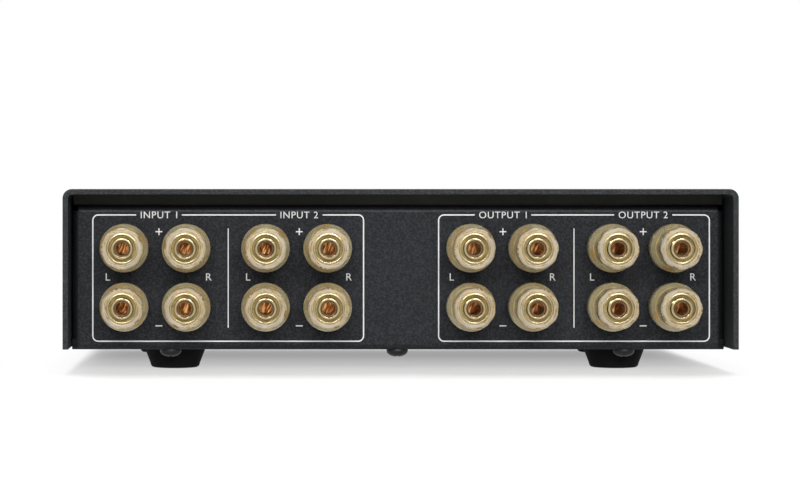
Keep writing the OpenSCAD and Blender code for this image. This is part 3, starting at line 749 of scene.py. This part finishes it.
class SELECTOR_OT_shade_strip(bpy.types.Operator):
    """Lays a dark strip on the rear panel's upper flange, under the cover, as painted shade for the gap
    there
    """

    bl_idname = "selector.seal"
    bl_label = "Shade strip"

    def execute(self, context):
        coat = context.scene.selector_coats
        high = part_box("rear_panel")[1]
        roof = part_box("top_cover")[1].z - coat.cover_t
        half = high.x - 0.4 * MM
        face = high.y - coat.strip_in
        back = face - coat.strip_d
        wave_h = 0.15 * MM
        steps = 160
        form = bmesh.new()
        loops = []
        for step in range(steps + 1):
            x = half * (2 * step / steps - 1)
            edge = face + wave_h * math.sin(step * 1.7) * math.sin(step * 0.43)
            corners = [(edge, high.z), (edge, roof), (back, roof), (back, high.z)]
            loops.append([form.verts.new((x, y, z)) for y, z in corners])
        skin(form, loops)
        bmesh.ops.recalc_face_normals(form, faces=form.faces)
        # The strip's dark tone is painted shade for the gap over the rear panel.
        add_piece("foam_seal", as_mesh("foam_seal", form), [rubber("foam", coat.foam)], "root")
        return {"FINISHED"}


class SELECTOR_OT_feet(bpy.types.Operator):
    """Makes the feet rubber"""

    bl_idname = "selector.feet"
    bl_label = "Feet"

    def execute(self, context):
        dress("feet", rubber("foot_rubber", context.scene.selector_coats.rubber), ease=0.2 * MM)
        return {"FINISHED"}


class SELECTOR_OT_screws(bpy.types.Operator):
    """Blackens the outer screws and plates the inner ones"""

    bl_idname = "selector.screws"
    bl_label = "Screws"

    def execute(self, context):
        black = metal("black_oxide", (0.020, 0.020, 0.021), 0.42, PLATED, metallic=0.7)
        zinc = metal("zinc_plate", (0.46, 0.47, 0.48), 0.33, PLATED)
        for node in ("foot_screws", "rear_panel_screws", "cover_screws"):
            dress(node, black, ease=0.12 * MM)
        for node in ("front_panel_screws", "amp_knob_screw", "speaker_knob_screw"):
            dress(node, zinc, ease=0.1 * MM)
        return {"FINISHED"}


# ---- binding posts ----

class Fit:
    """Sizes of a post and its cap that the CAD parts set: r is a radius, t and h are heights."""

    stud_r = 2.5 * MM
    flange_r = 5.5 * MM
    flange_t = 1.5 * MM
    tube_r = 3.5 * MM
    bore_r = 2.05 * MM      # radius of the plug's bore
    bore_depth = 16.0 * MM
    wire_hole_r = 1.5 * MM  # radius of the hole across the tube
    ring_t = 1.6 * MM       # thickness of the clamp ring's disc
    hub_r = 4.35 * MM       # radius of the insert's bore over the clamp ring's hub
    hub_h = 1.5 * MM        # depth of that bore
    insert_r = 5.0 * MM
    foot_r = 6.2 * MM       # radius of the insert's knurled foot
    foot_h = 2.0 * MM       # height of the insert's foot
    recess_r = 4.35 * MM    # radius of the recess in the insert's end
    recess_h = 1.0 * MM     # depth of that recess
    insert_sunk = 0.3 * MM  # how far the insert ends inside the cap
    cap_sunk = 0.3 * MM     # how far the cap ends below the tube
    skirt_r = 7.85 * MM
    skirt_h = 4.1 * MM      # height of the skirt's straight wall
    slope_h = 2.5 * MM
    waist_r = 6.3 * MM
    waist_h = 0.8 * MM
    run_gap = 0.05 * MM     # clearance of a turning fit
    end_gap = 0.3 * MM      # clearance under the cap
    rim_gap = 0.2 * MM      # clearance between the insert's rim and the clamp ring
    bond = 0.05 * MM        # how far the moulded shell grips into the insert


def cut_across(mesh, radius, height, reach):
    """Cuts a round hole across a mesh, along its Y axis."""
    drill = revolve(plain([(radius, -reach), (radius, reach)]), 32)
    drill.transform(Matrix.Translation((0, 0, height)) @ Matrix.Rotation(math.pi / 2, 4, "X"))
    tool = bpy.data.objects.new("drill", as_mesh("drill", drill))
    block = bpy.data.objects.new("drilled", mesh)
    for helper in (tool, block):
        bpy.context.scene.collection.objects.link(helper)
    cut = block.modifiers.new("hole", "BOOLEAN")
    cut.operation = "DIFFERENCE"
    cut.solver = "EXACT"
    cut.object = tool
    evaluated = block.evaluated_get(bpy.context.evaluated_depsgraph_get())
    drilled = bpy.data.meshes.new_from_object(evaluated)
    for helper in (tool, block):
        bpy.data.objects.remove(helper)
    return drilled


def post_mesh(post):
    """One post: stud, flange, threaded tube and the bore for the plug.

    Its materials are the plate, the bore's wall, the ledge round its mouth and the mouth itself.
    """
    flange_top = COLLAR_TOP + Fit.flange_t
    bore_low = TUBE_TOP - Fit.bore_depth
    ledge = TUBE_TOP - 0.5 * MM
    ledge_in, ledge_out = 0.25 * MM, 0.6 * MM
    mouth_low = TUBE_TOP - 1.8 * MM
    rings = plain(eased([
        (Fit.stud_r, STUD_LOW, 0.4 * MM), (Fit.stud_r, COLLAR_TOP),
        (Fit.flange_r, COLLAR_TOP, 0.15 * MM), (Fit.flange_r, flange_top, 0.2 * MM),
        (Fit.tube_r - post.thread_depth, flange_top)]))
    rings += threaded(Fit.tube_r, flange_top + 0.2 * MM, TUBE_TOP - 0.9 * MM,
                      post.thread_pitch, post.thread_depth)
    rings += plain(eased([
        (Fit.tube_r - post.thread_depth, TUBE_TOP - 0.8 * MM),
        (Fit.tube_r - 0.05 * MM, TUBE_TOP - 0.65 * MM), (Fit.tube_r - 0.05 * MM, TUBE_TOP, 0.25 * MM),
        (Fit.bore_r + ledge_out + 0.1 * MM, TUBE_TOP, 0.06 * MM), (Fit.bore_r + ledge_out, ledge),
        (Fit.bore_r + ledge_in, ledge, 0.05 * MM), (Fit.bore_r, TUBE_TOP - 0.9 * MM),
        (Fit.bore_r, mouth_low), (Fit.bore_r, bore_low)]))
    mesh = as_mesh("post", revolve(rings, 40))
    hole_z = flange_top + Fit.wire_hole_r + Fit.end_gap
    mesh = cut_across(mesh, Fit.wire_hole_r, hole_z, Fit.flange_r * 2)
    for face in mesh.polygons:
        height = face.center.z
        past_bore = face.center.xy.length - Fit.bore_r
        if past_bore < ledge_in and bore_low - MM < height < mouth_low:
            face.material_index = 1
        elif past_bore < ledge_out + 0.08 * MM and height > ledge - 0.1 * MM:
            face.material_index = 2
        elif past_bore < ledge_in and height > mouth_low:
            face.material_index = 3
        else:
            face.material_index = 0
    return mesh


class SELECTOR_OT_posts(bpy.types.Operator):
    """Builds the threaded posts and finishes the pieces stacked on them"""

    bl_idname = "selector.posts"
    bl_label = "Binding posts"

    def execute(self, context):
        post = context.scene.selector_posts
        gold = metal("post_gold", post.gold, 0.12, TURNED)
        finishes = [
            gold,
            bore_wall("bore_wall", post.bore),
            # Painted shade: the ledge's plate is a much darker copy of the gold.
            metal("ledge_gold", post.ledge, 0.12, TURNED),
            # Painted light: the mouth's plate is a much lighter copy of the gold.
            metal("mouth_gold", post.mouth, 0.42, TURNED),
        ]
        mesh = copies("threaded_posts", post_mesh(post), [post_place(p) for p in POSTS])
        add_piece("threaded_posts", mesh, finishes, "root", ["post_tubes"])
        clear = clear_plastic("collar_plastic", post.plastic, post.haze)
        dress("post_collars", clear, ease=0.3 * MM)
        dress("post_bushes", moulding("bush_plastic", (0.015, 0.015, 0.016)), ease=0.2 * MM)
        dress("post_nuts", gold, ease=0.2 * MM)
        for name in POSTS:
            dress("clamp_ring_" + name, gold, ease=0.15 * MM)
        return {"FINISHED"}


# ---- caps ----

def grip_radius(turn, post):
    """Radius of the eight-sided grip at a share of a turn: dished sides and blunt corners."""
    side = math.tau / 8
    across = (turn * math.tau) % side - side / 2
    flat = post.grip_r * math.cos(side / 2)
    dish = post.grip_dish * math.cos(across / side * math.pi) ** 2
    return min(flat / math.cos(across) - dish, post.grip_blunt_r)


def grip_rings(post, low, high):
    """Rings of the grip from its foot to its rounded end."""
    steps = 4
    heights = [low, low + 0.25 * MM, high - post.grip_ease]
    insets = [0.2 * MM, 0.0, 0.0]
    for step in range(1, steps + 1):
        angle = math.pi / 2 * step / steps
        heights.append(high - post.grip_ease * (1 - math.sin(angle)))
        insets.append(post.grip_ease * (1 - math.cos(angle)))
    return [lambda turn, h=height, i=inset: (grip_radius(turn, post) - i, h)
            for height, inset in zip(heights, insets)]


def cap_shell_mesh(post):
    """The clear shell of a cap: skirt, slope, waist and eight-sided grip, open at both ends."""
    low = COLLAR_TOP + Fit.end_gap
    high = TUBE_TOP - Fit.cap_sunk
    slope_low = low + Fit.skirt_h
    waist_low = slope_low + Fit.slope_h
    grip_low = waist_low + Fit.waist_h
    seat = COLLAR_TOP + Fit.flange_t + Fit.ring_t + Fit.foot_h - Fit.bond
    bore_r = Fit.insert_r - Fit.bond
    skirt_bore_r = Fit.foot_r - Fit.bond
    groove = 0.12 * MM
    middle_z = low + Fit.skirt_h / 2
    rings = plain(eased([
        (skirt_bore_r, low, 0.15 * MM), (Fit.skirt_r, low, 0.35 * MM),
        (Fit.skirt_r, middle_z - 2 * groove), (Fit.skirt_r - groove, middle_z - groove),
        (Fit.skirt_r - groove, middle_z + groove), (Fit.skirt_r, middle_z + 2 * groove),
        (Fit.skirt_r, slope_low, 0.5 * MM), (Fit.waist_r, waist_low, 0.3 * MM),
        (Fit.waist_r, grip_low - 0.05 * MM)]))
    rings += grip_rings(post, grip_low, high)
    rings += plain(eased([
        (bore_r, high, 0.15 * MM), (bore_r, seat), (skirt_bore_r, seat)]))
    mesh = as_mesh("cap_shell", revolve(rings, 96, closed=True), 32.0)
    for face in mesh.polygons:
        face.material_index = 1 if face.center.z > high - post.grip_ease / 2 else 0
    return mesh


def cap_insert_mesh(post):
    """The brass insert of a cap: rim, knurled foot and body, and a ridged recess in its end."""
    foot_low = COLLAR_TOP + Fit.flange_t + Fit.ring_t
    foot_high = foot_low + Fit.foot_h
    rim_low = COLLAR_TOP + 2 * Fit.end_gap
    rim_bore_r = Fit.flange_r + Fit.rim_gap
    high = TUBE_TOP - Fit.cap_sunk - Fit.insert_sunk
    floor_z = high - Fit.recess_h
    bore_r = Fit.tube_r + Fit.run_gap
    knurl = 0.22 * MM
    rings = plain(eased([
        (Fit.hub_r, foot_low + Fit.hub_h), (Fit.hub_r, foot_low, 0.1 * MM),
        (rim_bore_r, foot_low), (rim_bore_r, rim_low), (Fit.foot_r - knurl, rim_low)]))
    rings += cross_knurled(Fit.foot_r, rim_low + 0.15 * MM, foot_high - 0.15 * MM, 12,
                           post.knurls, knurl)
    rings += plain([(Fit.foot_r - knurl, foot_high), (Fit.insert_r - knurl, foot_high)])
    rings += ridged([(Fit.insert_r, foot_high + 0.3 * MM), (Fit.insert_r, high - 0.6 * MM)],
                    post.knurls, knurl)
    rings += plain(eased([
        (Fit.insert_r - knurl, high - 0.4 * MM), (Fit.insert_r - 0.05 * MM, high - 0.3 * MM),
        (Fit.insert_r - 0.05 * MM, high, 0.2 * MM), (Fit.recess_r, high, 0.12 * MM),
        (Fit.recess_r, floor_z)]))
    rings += ridged([(Fit.recess_r - 0.05 * MM, floor_z), (bore_r + 0.1 * MM, floor_z)],
                    post.knurls, -0.16 * MM, along=True)
    rings += plain([(bore_r, floor_z - 0.1 * MM), (bore_r, foot_low + Fit.hub_h)])
    mesh = as_mesh("cap_insert", revolve(rings, 2 * post.knurls, closed=True), 30.0)
    for face in mesh.polygons:
        sunk = face.center.z < high - 0.1 * MM and face.center.z > floor_z - 0.5 * MM
        if sunk and face.center.xy.length < Fit.recess_r:
            face.material_index = 1
        elif face.center.z < foot_high and face.center.xy.length > Fit.insert_r:
            face.material_index = 2
    return mesh


class SELECTOR_OT_caps(bpy.types.Operator):
    """Builds the clear screw caps and their brass inserts"""

    bl_idname = "selector.caps"
    bl_label = "Caps"

    def execute(self, context):
        post = context.scene.selector_posts
        clear = clear_plastic("cap_plastic", post.plastic, post.haze, post.plastic_tint)
        # Painted shade: the insert's plate is a darker copy of the post's gold.
        gold = metal("insert_gold", shade(post.gold, 0.78), 0.2, SPUN)
        frost = frosted_plastic("cap_end_plastic", post.frost, post.frost_tint)
        dark = ridged_gold("recess_gold", post.dark_gold, post.knurls)
        # Painted light: the knurls' plate is a much lighter copy of the gold.
        knurl = metal("knurl_gold", post.knurl_gold, 0.5, SPUN, metallic=0.5)
        halves = (
            ("cap_shell_", cap_shell_mesh(post), [clear, frost], "clear_plastic"),
            ("cap_insert_", cap_insert_mesh(post), [gold, dark, knurl], "gold_brass"),
        )
        for name in POSTS:
            place = post_place(name) @ Matrix.Rotation(grip_turn(name), 4, "Z")
            for kind, mesh, finishes, slot in halves:
                add_piece(kind + name, mesh, finishes, name + "_cap", ["cap_" + name], place)
        return {"FINISHED"}


# ---- selectors ----

class SELECTOR_OT_selectors(bpy.types.Operator):
    """Finishes the knobs, their pointers and the switches behind the front panel"""

    bl_idname = "selector.selectors"
    bl_label = "Selectors"

    def execute(self, context):
        coat = context.scene.selector_coats
        white = ink("pointer_paint", context.scene.selector_print.ink)
        steel = metal("switch_steel", (0.42, 0.43, 0.44), 0.36, PLATED)
        case = moulding("switch_moulding", (0.045, 0.050, 0.058))
        for kind in ("amp", "speaker"):
            dress(kind + "_knob", anodised(kind + "_knob_anodising", coat.front), ease=0.15 * MM)
            dress(kind + "_shaft", steel, ease=0.15 * MM)
            dress(kind + "_switch_front", steel, ease=0.2 * MM)
            dress(kind + "_switch_case", case, ease=0.3 * MM)
            self.add_pointer(kind, white)
        dress("switch_nuts", steel, ease=0.2 * MM)
        return {"FINISHED"}

    def add_pointer(self, kind, paint):
        """Fills the groove in a knob's face with paint, from near its axis to its edge."""
        knob_low, knob_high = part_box(kind + "_knob")
        radius = (knob_high.x - knob_low.x) / 2
        face = FRONT_Y - knob_low.y
        width, sunk = 1.5 * MM, 0.12 * MM
        form = bmesh.new()
        bmesh.ops.create_cube(form, size=1.0)
        groove = 0.6 * MM
        start, end = radius / 3 + 0.05 * MM, radius - 1.1 * MM
        form.transform(Matrix.Translation((0, (start + end) / 2, face - (groove + sunk) / 2))
                       @ Matrix.Diagonal((width, end - start, groove - sunk, 1)))
        bmesh.ops.bevel(form, geom=form.edges[:], offset=0.08 * MM, segments=2, affect="EDGES")
        mesh = as_mesh(kind + "_pointer", form)
        body = kind + "_selector"
        add_piece(kind + "_pointer", mesh, [paint], body, place=knob_place(body))


class SELECTOR_OT_works(bpy.types.Operator):
    """Finishes the rear board, the tags and the wires"""

    bl_idname = "selector.works"
    bl_label = "Inner works"

    def execute(self, context):
        dress("rear_board", circuit_board("circuit_board", (0.018, 0.085, 0.035)), ease=0.1 * MM)
        dress("switch_tags", metal("tinned_brass", (0.60, 0.61, 0.60), 0.3, PLATED), ease=0.1 * MM)
        dress("amp_wires", moulding("red_insulation", (0.42, 0.025, 0.022), roughness=0.4))
        dress("speaker_wires", moulding("blue_insulation", (0.025, 0.09, 0.38), roughness=0.4))
        return {"FINISHED"}


# ---- print ----

class Sheet:
    """Print for one face of the case: flat shapes drawn in that face, then raised by the ink."""

    def __init__(self, thickness):
        self.form = bmesh.new()
        self.thickness = thickness

    def stroke(self, points, width):
        """A line of even width through points, with square ends."""
        points = [Vector(point) for point in points]
        left, right = [], []
        for index, point in enumerate(points):
            before = points[max(index - 1, 0)]
            after = points[min(index + 1, len(points) - 1)]
            along = (after - before).normalized()
            across = Vector((-along.y, along.x)) * width / 2
            left.append(point + across)
            right.append(point - across)
        for low, high, other_low, other_high in zip(left, left[1:], right, right[1:]):
            self.block([other_low, other_high, high, low])

    def block(self, outline):
        """A flat shape raised by the ink's thickness."""
        levels = (0.0, self.thickness)
        skin(self.form, [[self.form.verts.new((*point, z)) for point in outline] for z in levels])

    def words(self, text, height, centre):
        """Adds lettering about a centre, and returns its width."""
        curve = bpy.data.curves.new(text, "FONT")
        curve.body = text
        curve.extrude = self.thickness / 2
        curve.resolution_u = 6
        curve.space_character = 1.12
        holder = bpy.data.objects.new(text, curve)
        mesh = bpy.data.meshes.new_from_object(holder)
        xs = [v.co.x for v in mesh.vertices]
        ys = [v.co.y for v in mesh.vertices]
        scale = height / (max(ys) - min(ys))
        width = (max(xs) - min(xs)) * scale
        shift = Vector(((max(xs) + min(xs)) / 2, (max(ys) + min(ys)) / 2)) * scale
        move = Matrix.Translation((centre[0] - shift.x, centre[1] - shift.y, self.thickness / 2))
        mesh.transform(move @ Matrix.Diagonal((scale, scale, 1, 1)))
        self.form.from_mesh(mesh)
        bpy.data.objects.remove(holder)
        bpy.data.curves.remove(curve)
        bpy.data.meshes.remove(mesh)
        return width

    def mesh(self, name):
        bmesh.ops.recalc_face_normals(self.form, faces=self.form.faces)
        return as_mesh(name, self.form, 30.0)


def arc(centre, radius, start, end, steps=6):
    """Points of an arc between two angles in degrees."""
    angles = [math.radians(start + (end - start) * n / steps) for n in range(steps + 1)]
    return [(centre[0] + radius * math.cos(a), centre[1] + radius * math.sin(a)) for a in angles]


def group_middle(group):
    """Middle of a group of four posts as the rear panel shows it: right across, then up."""
    centres = [middle("cap_" + name) for name in POSTS if name.startswith(group + "_")]
    return -sum(c.x for c in centres) / len(centres), sum(c.z for c in centres) / len(centres)


def draw_group(sheet, layout, label, middle_x, middle_z):
    """The label of a group of posts with its side marks and signs. Returns the label's width."""
    sign = layout.sign_w / 2
    sign_z = middle_z - layout.sign_drop
    low, high = sign_z - layout.sign_rise, sign_z + layout.sign_rise
    width = sheet.words(label, layout.label_h, (middle_x, layout.frame_high))
    sheet.words("L", layout.mark_h, (middle_x - layout.side_left, middle_z))
    sheet.words("R", layout.mark_h, (middle_x + layout.side_right, middle_z))
    for level in (low, high):
        sheet.stroke([(middle_x - sign, level), (middle_x + sign, level)], layout.sign_line_w)
    half = layout.sign_line_w / 2
    for start, end in ((high - sign, high - half), (high + half, high + sign)):
        sheet.stroke([(middle_x, start), (middle_x, end)], layout.sign_line_w)
    return width


def draw_frame(sheet, layout, labels):
    """The frame round two groups, open at its labels, with a divider. Labels are (middle, width)."""
    (first, first_w), (second, second_w) = labels
    centre = (first + second) / 2
    centre += math.copysign(layout.frame_out, centre)
    left, right = centre - layout.frame_w / 2, centre + layout.frame_w / 2
    low, high, r = layout.frame_low, layout.frame_high, layout.frame_r
    first_gap = first_w / 2 + layout.label_gap
    second_gap = second_w / 2 + layout.label_gap
    round_path = [(second + second_gap, high), *arc((right - r, high - r), r, 90, 0),
                  *arc((right - r, low + r), r, 0, -90), *arc((left + r, low + r), r, -90, -180),
                  *arc((left + r, high - r), r, 180, 90), (first - first_gap, high)]
    sheet.stroke(round_path, layout.line_w)
    sheet.stroke([(first + first_gap, high), (second - second_gap, high)], layout.line_w)
    divider = [(centre, low + layout.divider_in), (centre, high - layout.divider_in)]
    sheet.stroke(divider, layout.divider_w)


class SELECTOR_OT_rear_print(bpy.types.Operator):
    """Prints the frames, labels and signs on the rear panel"""

    bl_idname = "selector.rear_print"
    bl_label = "Rear print"

    def execute(self, context):
        layout = context.scene.selector_print
        sheet = Sheet(layout.ink_t)
        for groups, word in (("amp", "INPUT"), ("speaker", "OUTPUT")):
            labels = []
            for number in ("1", "2"):
                x, z = group_middle(groups + number)
                width = draw_group(sheet, layout, f"{word} {number}", x + layout.offset, z)
                labels.append((x + layout.offset, width))
            draw_frame(sheet, layout, labels)
        white = ink("rear_ink", layout.ink)
        add_piece("rear_print", sheet.mesh("rear_print"), [white], "root", place=facing(1, PANEL_Y))
        return {"FINISHED"}


class SELECTOR_OT_front_print(bpy.types.Operator):
    """Prints the numbers and ticks round the knobs"""

    bl_idname = "selector.front_print"
    bl_label = "Front print"

    def execute(self, context):
        layout = context.scene.selector_print
        sheet = Sheet(layout.ink_t)
        self.draw_dial(sheet, layout, "amp", "IN", ["1", "2"])
        self.draw_dial(sheet, layout, "speaker", "OUT", ["1", "2", "1+2"])
        white = ink("front_ink", layout.ink)
        add_piece("front_print", sheet.mesh("front_print"), [white], "root", place=facing(-1, FRONT_Y))
        return {"FINISHED"}

    def draw_dial(self, sheet, layout, kind, title, numbers):
        """A tick and a number for each position, and a title under the knob."""
        span = throw(kind + "_selector")
        shaft = middle(kind + "_shaft")
        centre = Vector((shaft.x, shaft.z))
        for index, number in enumerate(numbers):
            turn = math.radians(span * (index / (len(numbers) - 1) - 0.5))
            ray = Vector((math.sin(turn), math.cos(turn)))
            tick = [centre + ray * layout.tick_r, centre + ray * (layout.tick_r + layout.tick_l)]
            sheet.stroke(tick, layout.line_w)
            sheet.words(number, layout.label_h, centre + ray * layout.dial_r)
        sheet.words(title, layout.label_h, centre - Vector((0.0, layout.dial_r)))


# ---- stage ----

Lamp = namedtuple("Lamp", "name place size power")
LAMPS = (
    Lamp("key_left", (0.26, 1.60, 0.53), 0.34, 10.5),
    Lamp("key_right", (-0.26, 1.60, 0.53), 0.34, 10.5),
    Lamp("top", (0.0, -0.3, 1.20), 1.0, 20.0),
    Lamp("front_left", (-0.7, -1.1, 0.6), 0.6, 9.0),
    Lamp("front_right", (0.7, -1.1, 0.6), 0.6, 9.0),
)


def seen_directly(shader):
    """1 for camera, glossy and transmission rays, which see the background, and 0 for others."""
    camera, glossy, through = [shader.node("ShaderNodeLightPath", output=f"Is {ray} Ray")
                               for ray in ("Camera", "Glossy", "Transmission")]
    return camera.math("MAXIMUM", glossy).math("MAXIMUM", through)


def light_world(ambient):
    """Soft even light, with a white background behind the object."""
    shader = Shader(bpy.context.scene.world or bpy.data.worlds.new("studio"))
    bpy.context.scene.world = shader.owner
    strength = shader.between(seen_directly(shader), ambient, 1.0)
    light = shader.node("ShaderNodeBackground", {}, {"Color": (1.0, 1.0, 1.0), "Strength": strength})
    shader.node("ShaderNodeOutputWorld", {}, {"Surface": light})


def floor_material(tone):
    """A pale floor that keeps shadows, and is lifted to white where it is seen.

    The lift is painted light: it is whole far from the case and past its ends, where it paints out the
    case's shadow, and least under it, and it rises out from under the case on its rear panel's side,
    where it paints the shadow lighter.
    """
    shader, place = new_shader("floor")
    matt = shader.node("ShaderNodeBsdfDiffuse", {}, {"Color": tuple(tone)})
    glow = shader.node("ShaderNodeEmission", {}, {"Color": (1.0, 1.0, 1.0), "Strength": 1.0})
    # Painted light: the lift grows out from under the case on its rear panel's side and past the case's
    # ends, where it paints out the case's shadow.
    near = shader.ramp(shader.axis(place, 1) + 0.1, (0.08, 0.36), (0.13, 0.53), (0.20, 0.56))
    far = shader.ramp(shader.vector("LENGTH", place, output=1), (0.2, 0.0), (0.5, 1.0))
    across = shader.axis(place, 0).math("ABSOLUTE")
    ends = shader.ramp(across * 5, (0.495, 0.0), (0.54, 0.80), (0.65, 1.0))
    lift = seen_directly(shader) * near.math("MAXIMUM", far).math("MAXIMUM", ends)
    surface = shader.node("ShaderNodeMixShader", {}, {0: lift, 1: matt, 2: glow})
    shader.node("ShaderNodeOutputMaterial", {}, {"Surface": surface})
    return shader.owner


class SELECTOR_OT_stage(bpy.types.Operator):
    """Sets up the camera, the floor, the world and the lamps"""

    bl_idname = "selector.stage"
    bl_label = "Stage"

    def execute(self, context):
        stage = context.scene.selector_stage
        context.scene.view_settings.view_transform = "Standard"
        self.add_camera(context.scene, stage)
        self.add_floor(context.scene, stage)
        light_world(stage.ambient)
        for lamp in LAMPS:
            self.add_lamp(context.scene, lamp)
        return {"FINISHED"}

    def add_camera(self, scene, stage):
        data = bpy.data.cameras.new("camera")
        data.lens = stage.lens
        data.shift_x, data.shift_y = stage.shift
        camera = bpy.data.objects.new("camera", data)
        camera.location = stage.camera
        camera.rotation_euler = (math.pi / 2, 0.0, math.pi)
        scene.collection.objects.link(camera)
        scene.camera = camera

    def add_floor(self, scene, stage):
        form = bmesh.new()
        bmesh.ops.create_grid(form, x_segments=8, y_segments=8, size=stage.floor_size / 2)
        floor = bpy.data.objects.new("floor", flat_mesh("floor", form))
        floor.data.materials.append(floor_material(stage.floor))
        scene.collection.objects.link(floor)

    def add_lamp(self, scene, lamp):
        data = bpy.data.lights.new(lamp.name, "AREA")
        data.size = lamp.size
        data.energy = lamp.power
        holder = bpy.data.objects.new(lamp.name, data)
        holder.location = lamp.place
        aim = (CAD_BOX[0] + CAD_BOX[1]) / 2
        holder.rotation_euler = (aim - Vector(lamp.place)).to_track_quat("-Z", "Y").to_euler()
        holder.visible_camera = False
        scene.collection.objects.link(holder)


# ---- the add-on ----

class SELECTOR_PT_panel(bpy.types.Panel):
    """Buttons that build the pieces, in order"""

    bl_idname = "SELECTOR_PT_panel"
    bl_label = "Speaker selector"
    bl_space_type = "VIEW_3D"
    bl_region_type = "UI"
    bl_category = "Selector"

    def draw(self, context):
        for operator in OPERATORS:
            self.layout.operator(operator.bl_idname)


SETTINGS = {
    "selector_coats": CoatSettings,
    "selector_posts": PostSettings,
    "selector_print": PrintSettings,
    "selector_stage": StageSettings,
}
OPERATORS = (
    SELECTOR_OT_stage,
    SELECTOR_OT_case,
    SELECTOR_OT_shade_strip,
    SELECTOR_OT_feet,
    SELECTOR_OT_screws,
    SELECTOR_OT_posts,
    SELECTOR_OT_caps,
    SELECTOR_OT_selectors,
    SELECTOR_OT_works,
    SELECTOR_OT_rear_print,
    SELECTOR_OT_front_print,
)


def register():
    for group in SETTINGS.values():
        bpy.utils.register_class(group)
    for name, group in SETTINGS.items():
        setattr(bpy.types.Scene, name, PointerProperty(type=group))
    for operator in OPERATORS:
        bpy.utils.register_class(operator)
    bpy.utils.register_class(SELECTOR_PT_panel)


def unregister():
    bpy.utils.unregister_class(SELECTOR_PT_panel)
    for operator in reversed(OPERATORS):
        bpy.utils.unregister_class(operator)
    for name in SETTINGS:
        delattr(bpy.types.Scene, name)
    for group in SETTINGS.values():
        bpy.utils.unregister_class(group)


def main():
    """Registers the add-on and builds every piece."""
    register()
    for operator in OPERATORS:
        getattr(bpy.ops.selector, operator.bl_idname.split(".")[1])()


if __name__ == "__main__":
    main()
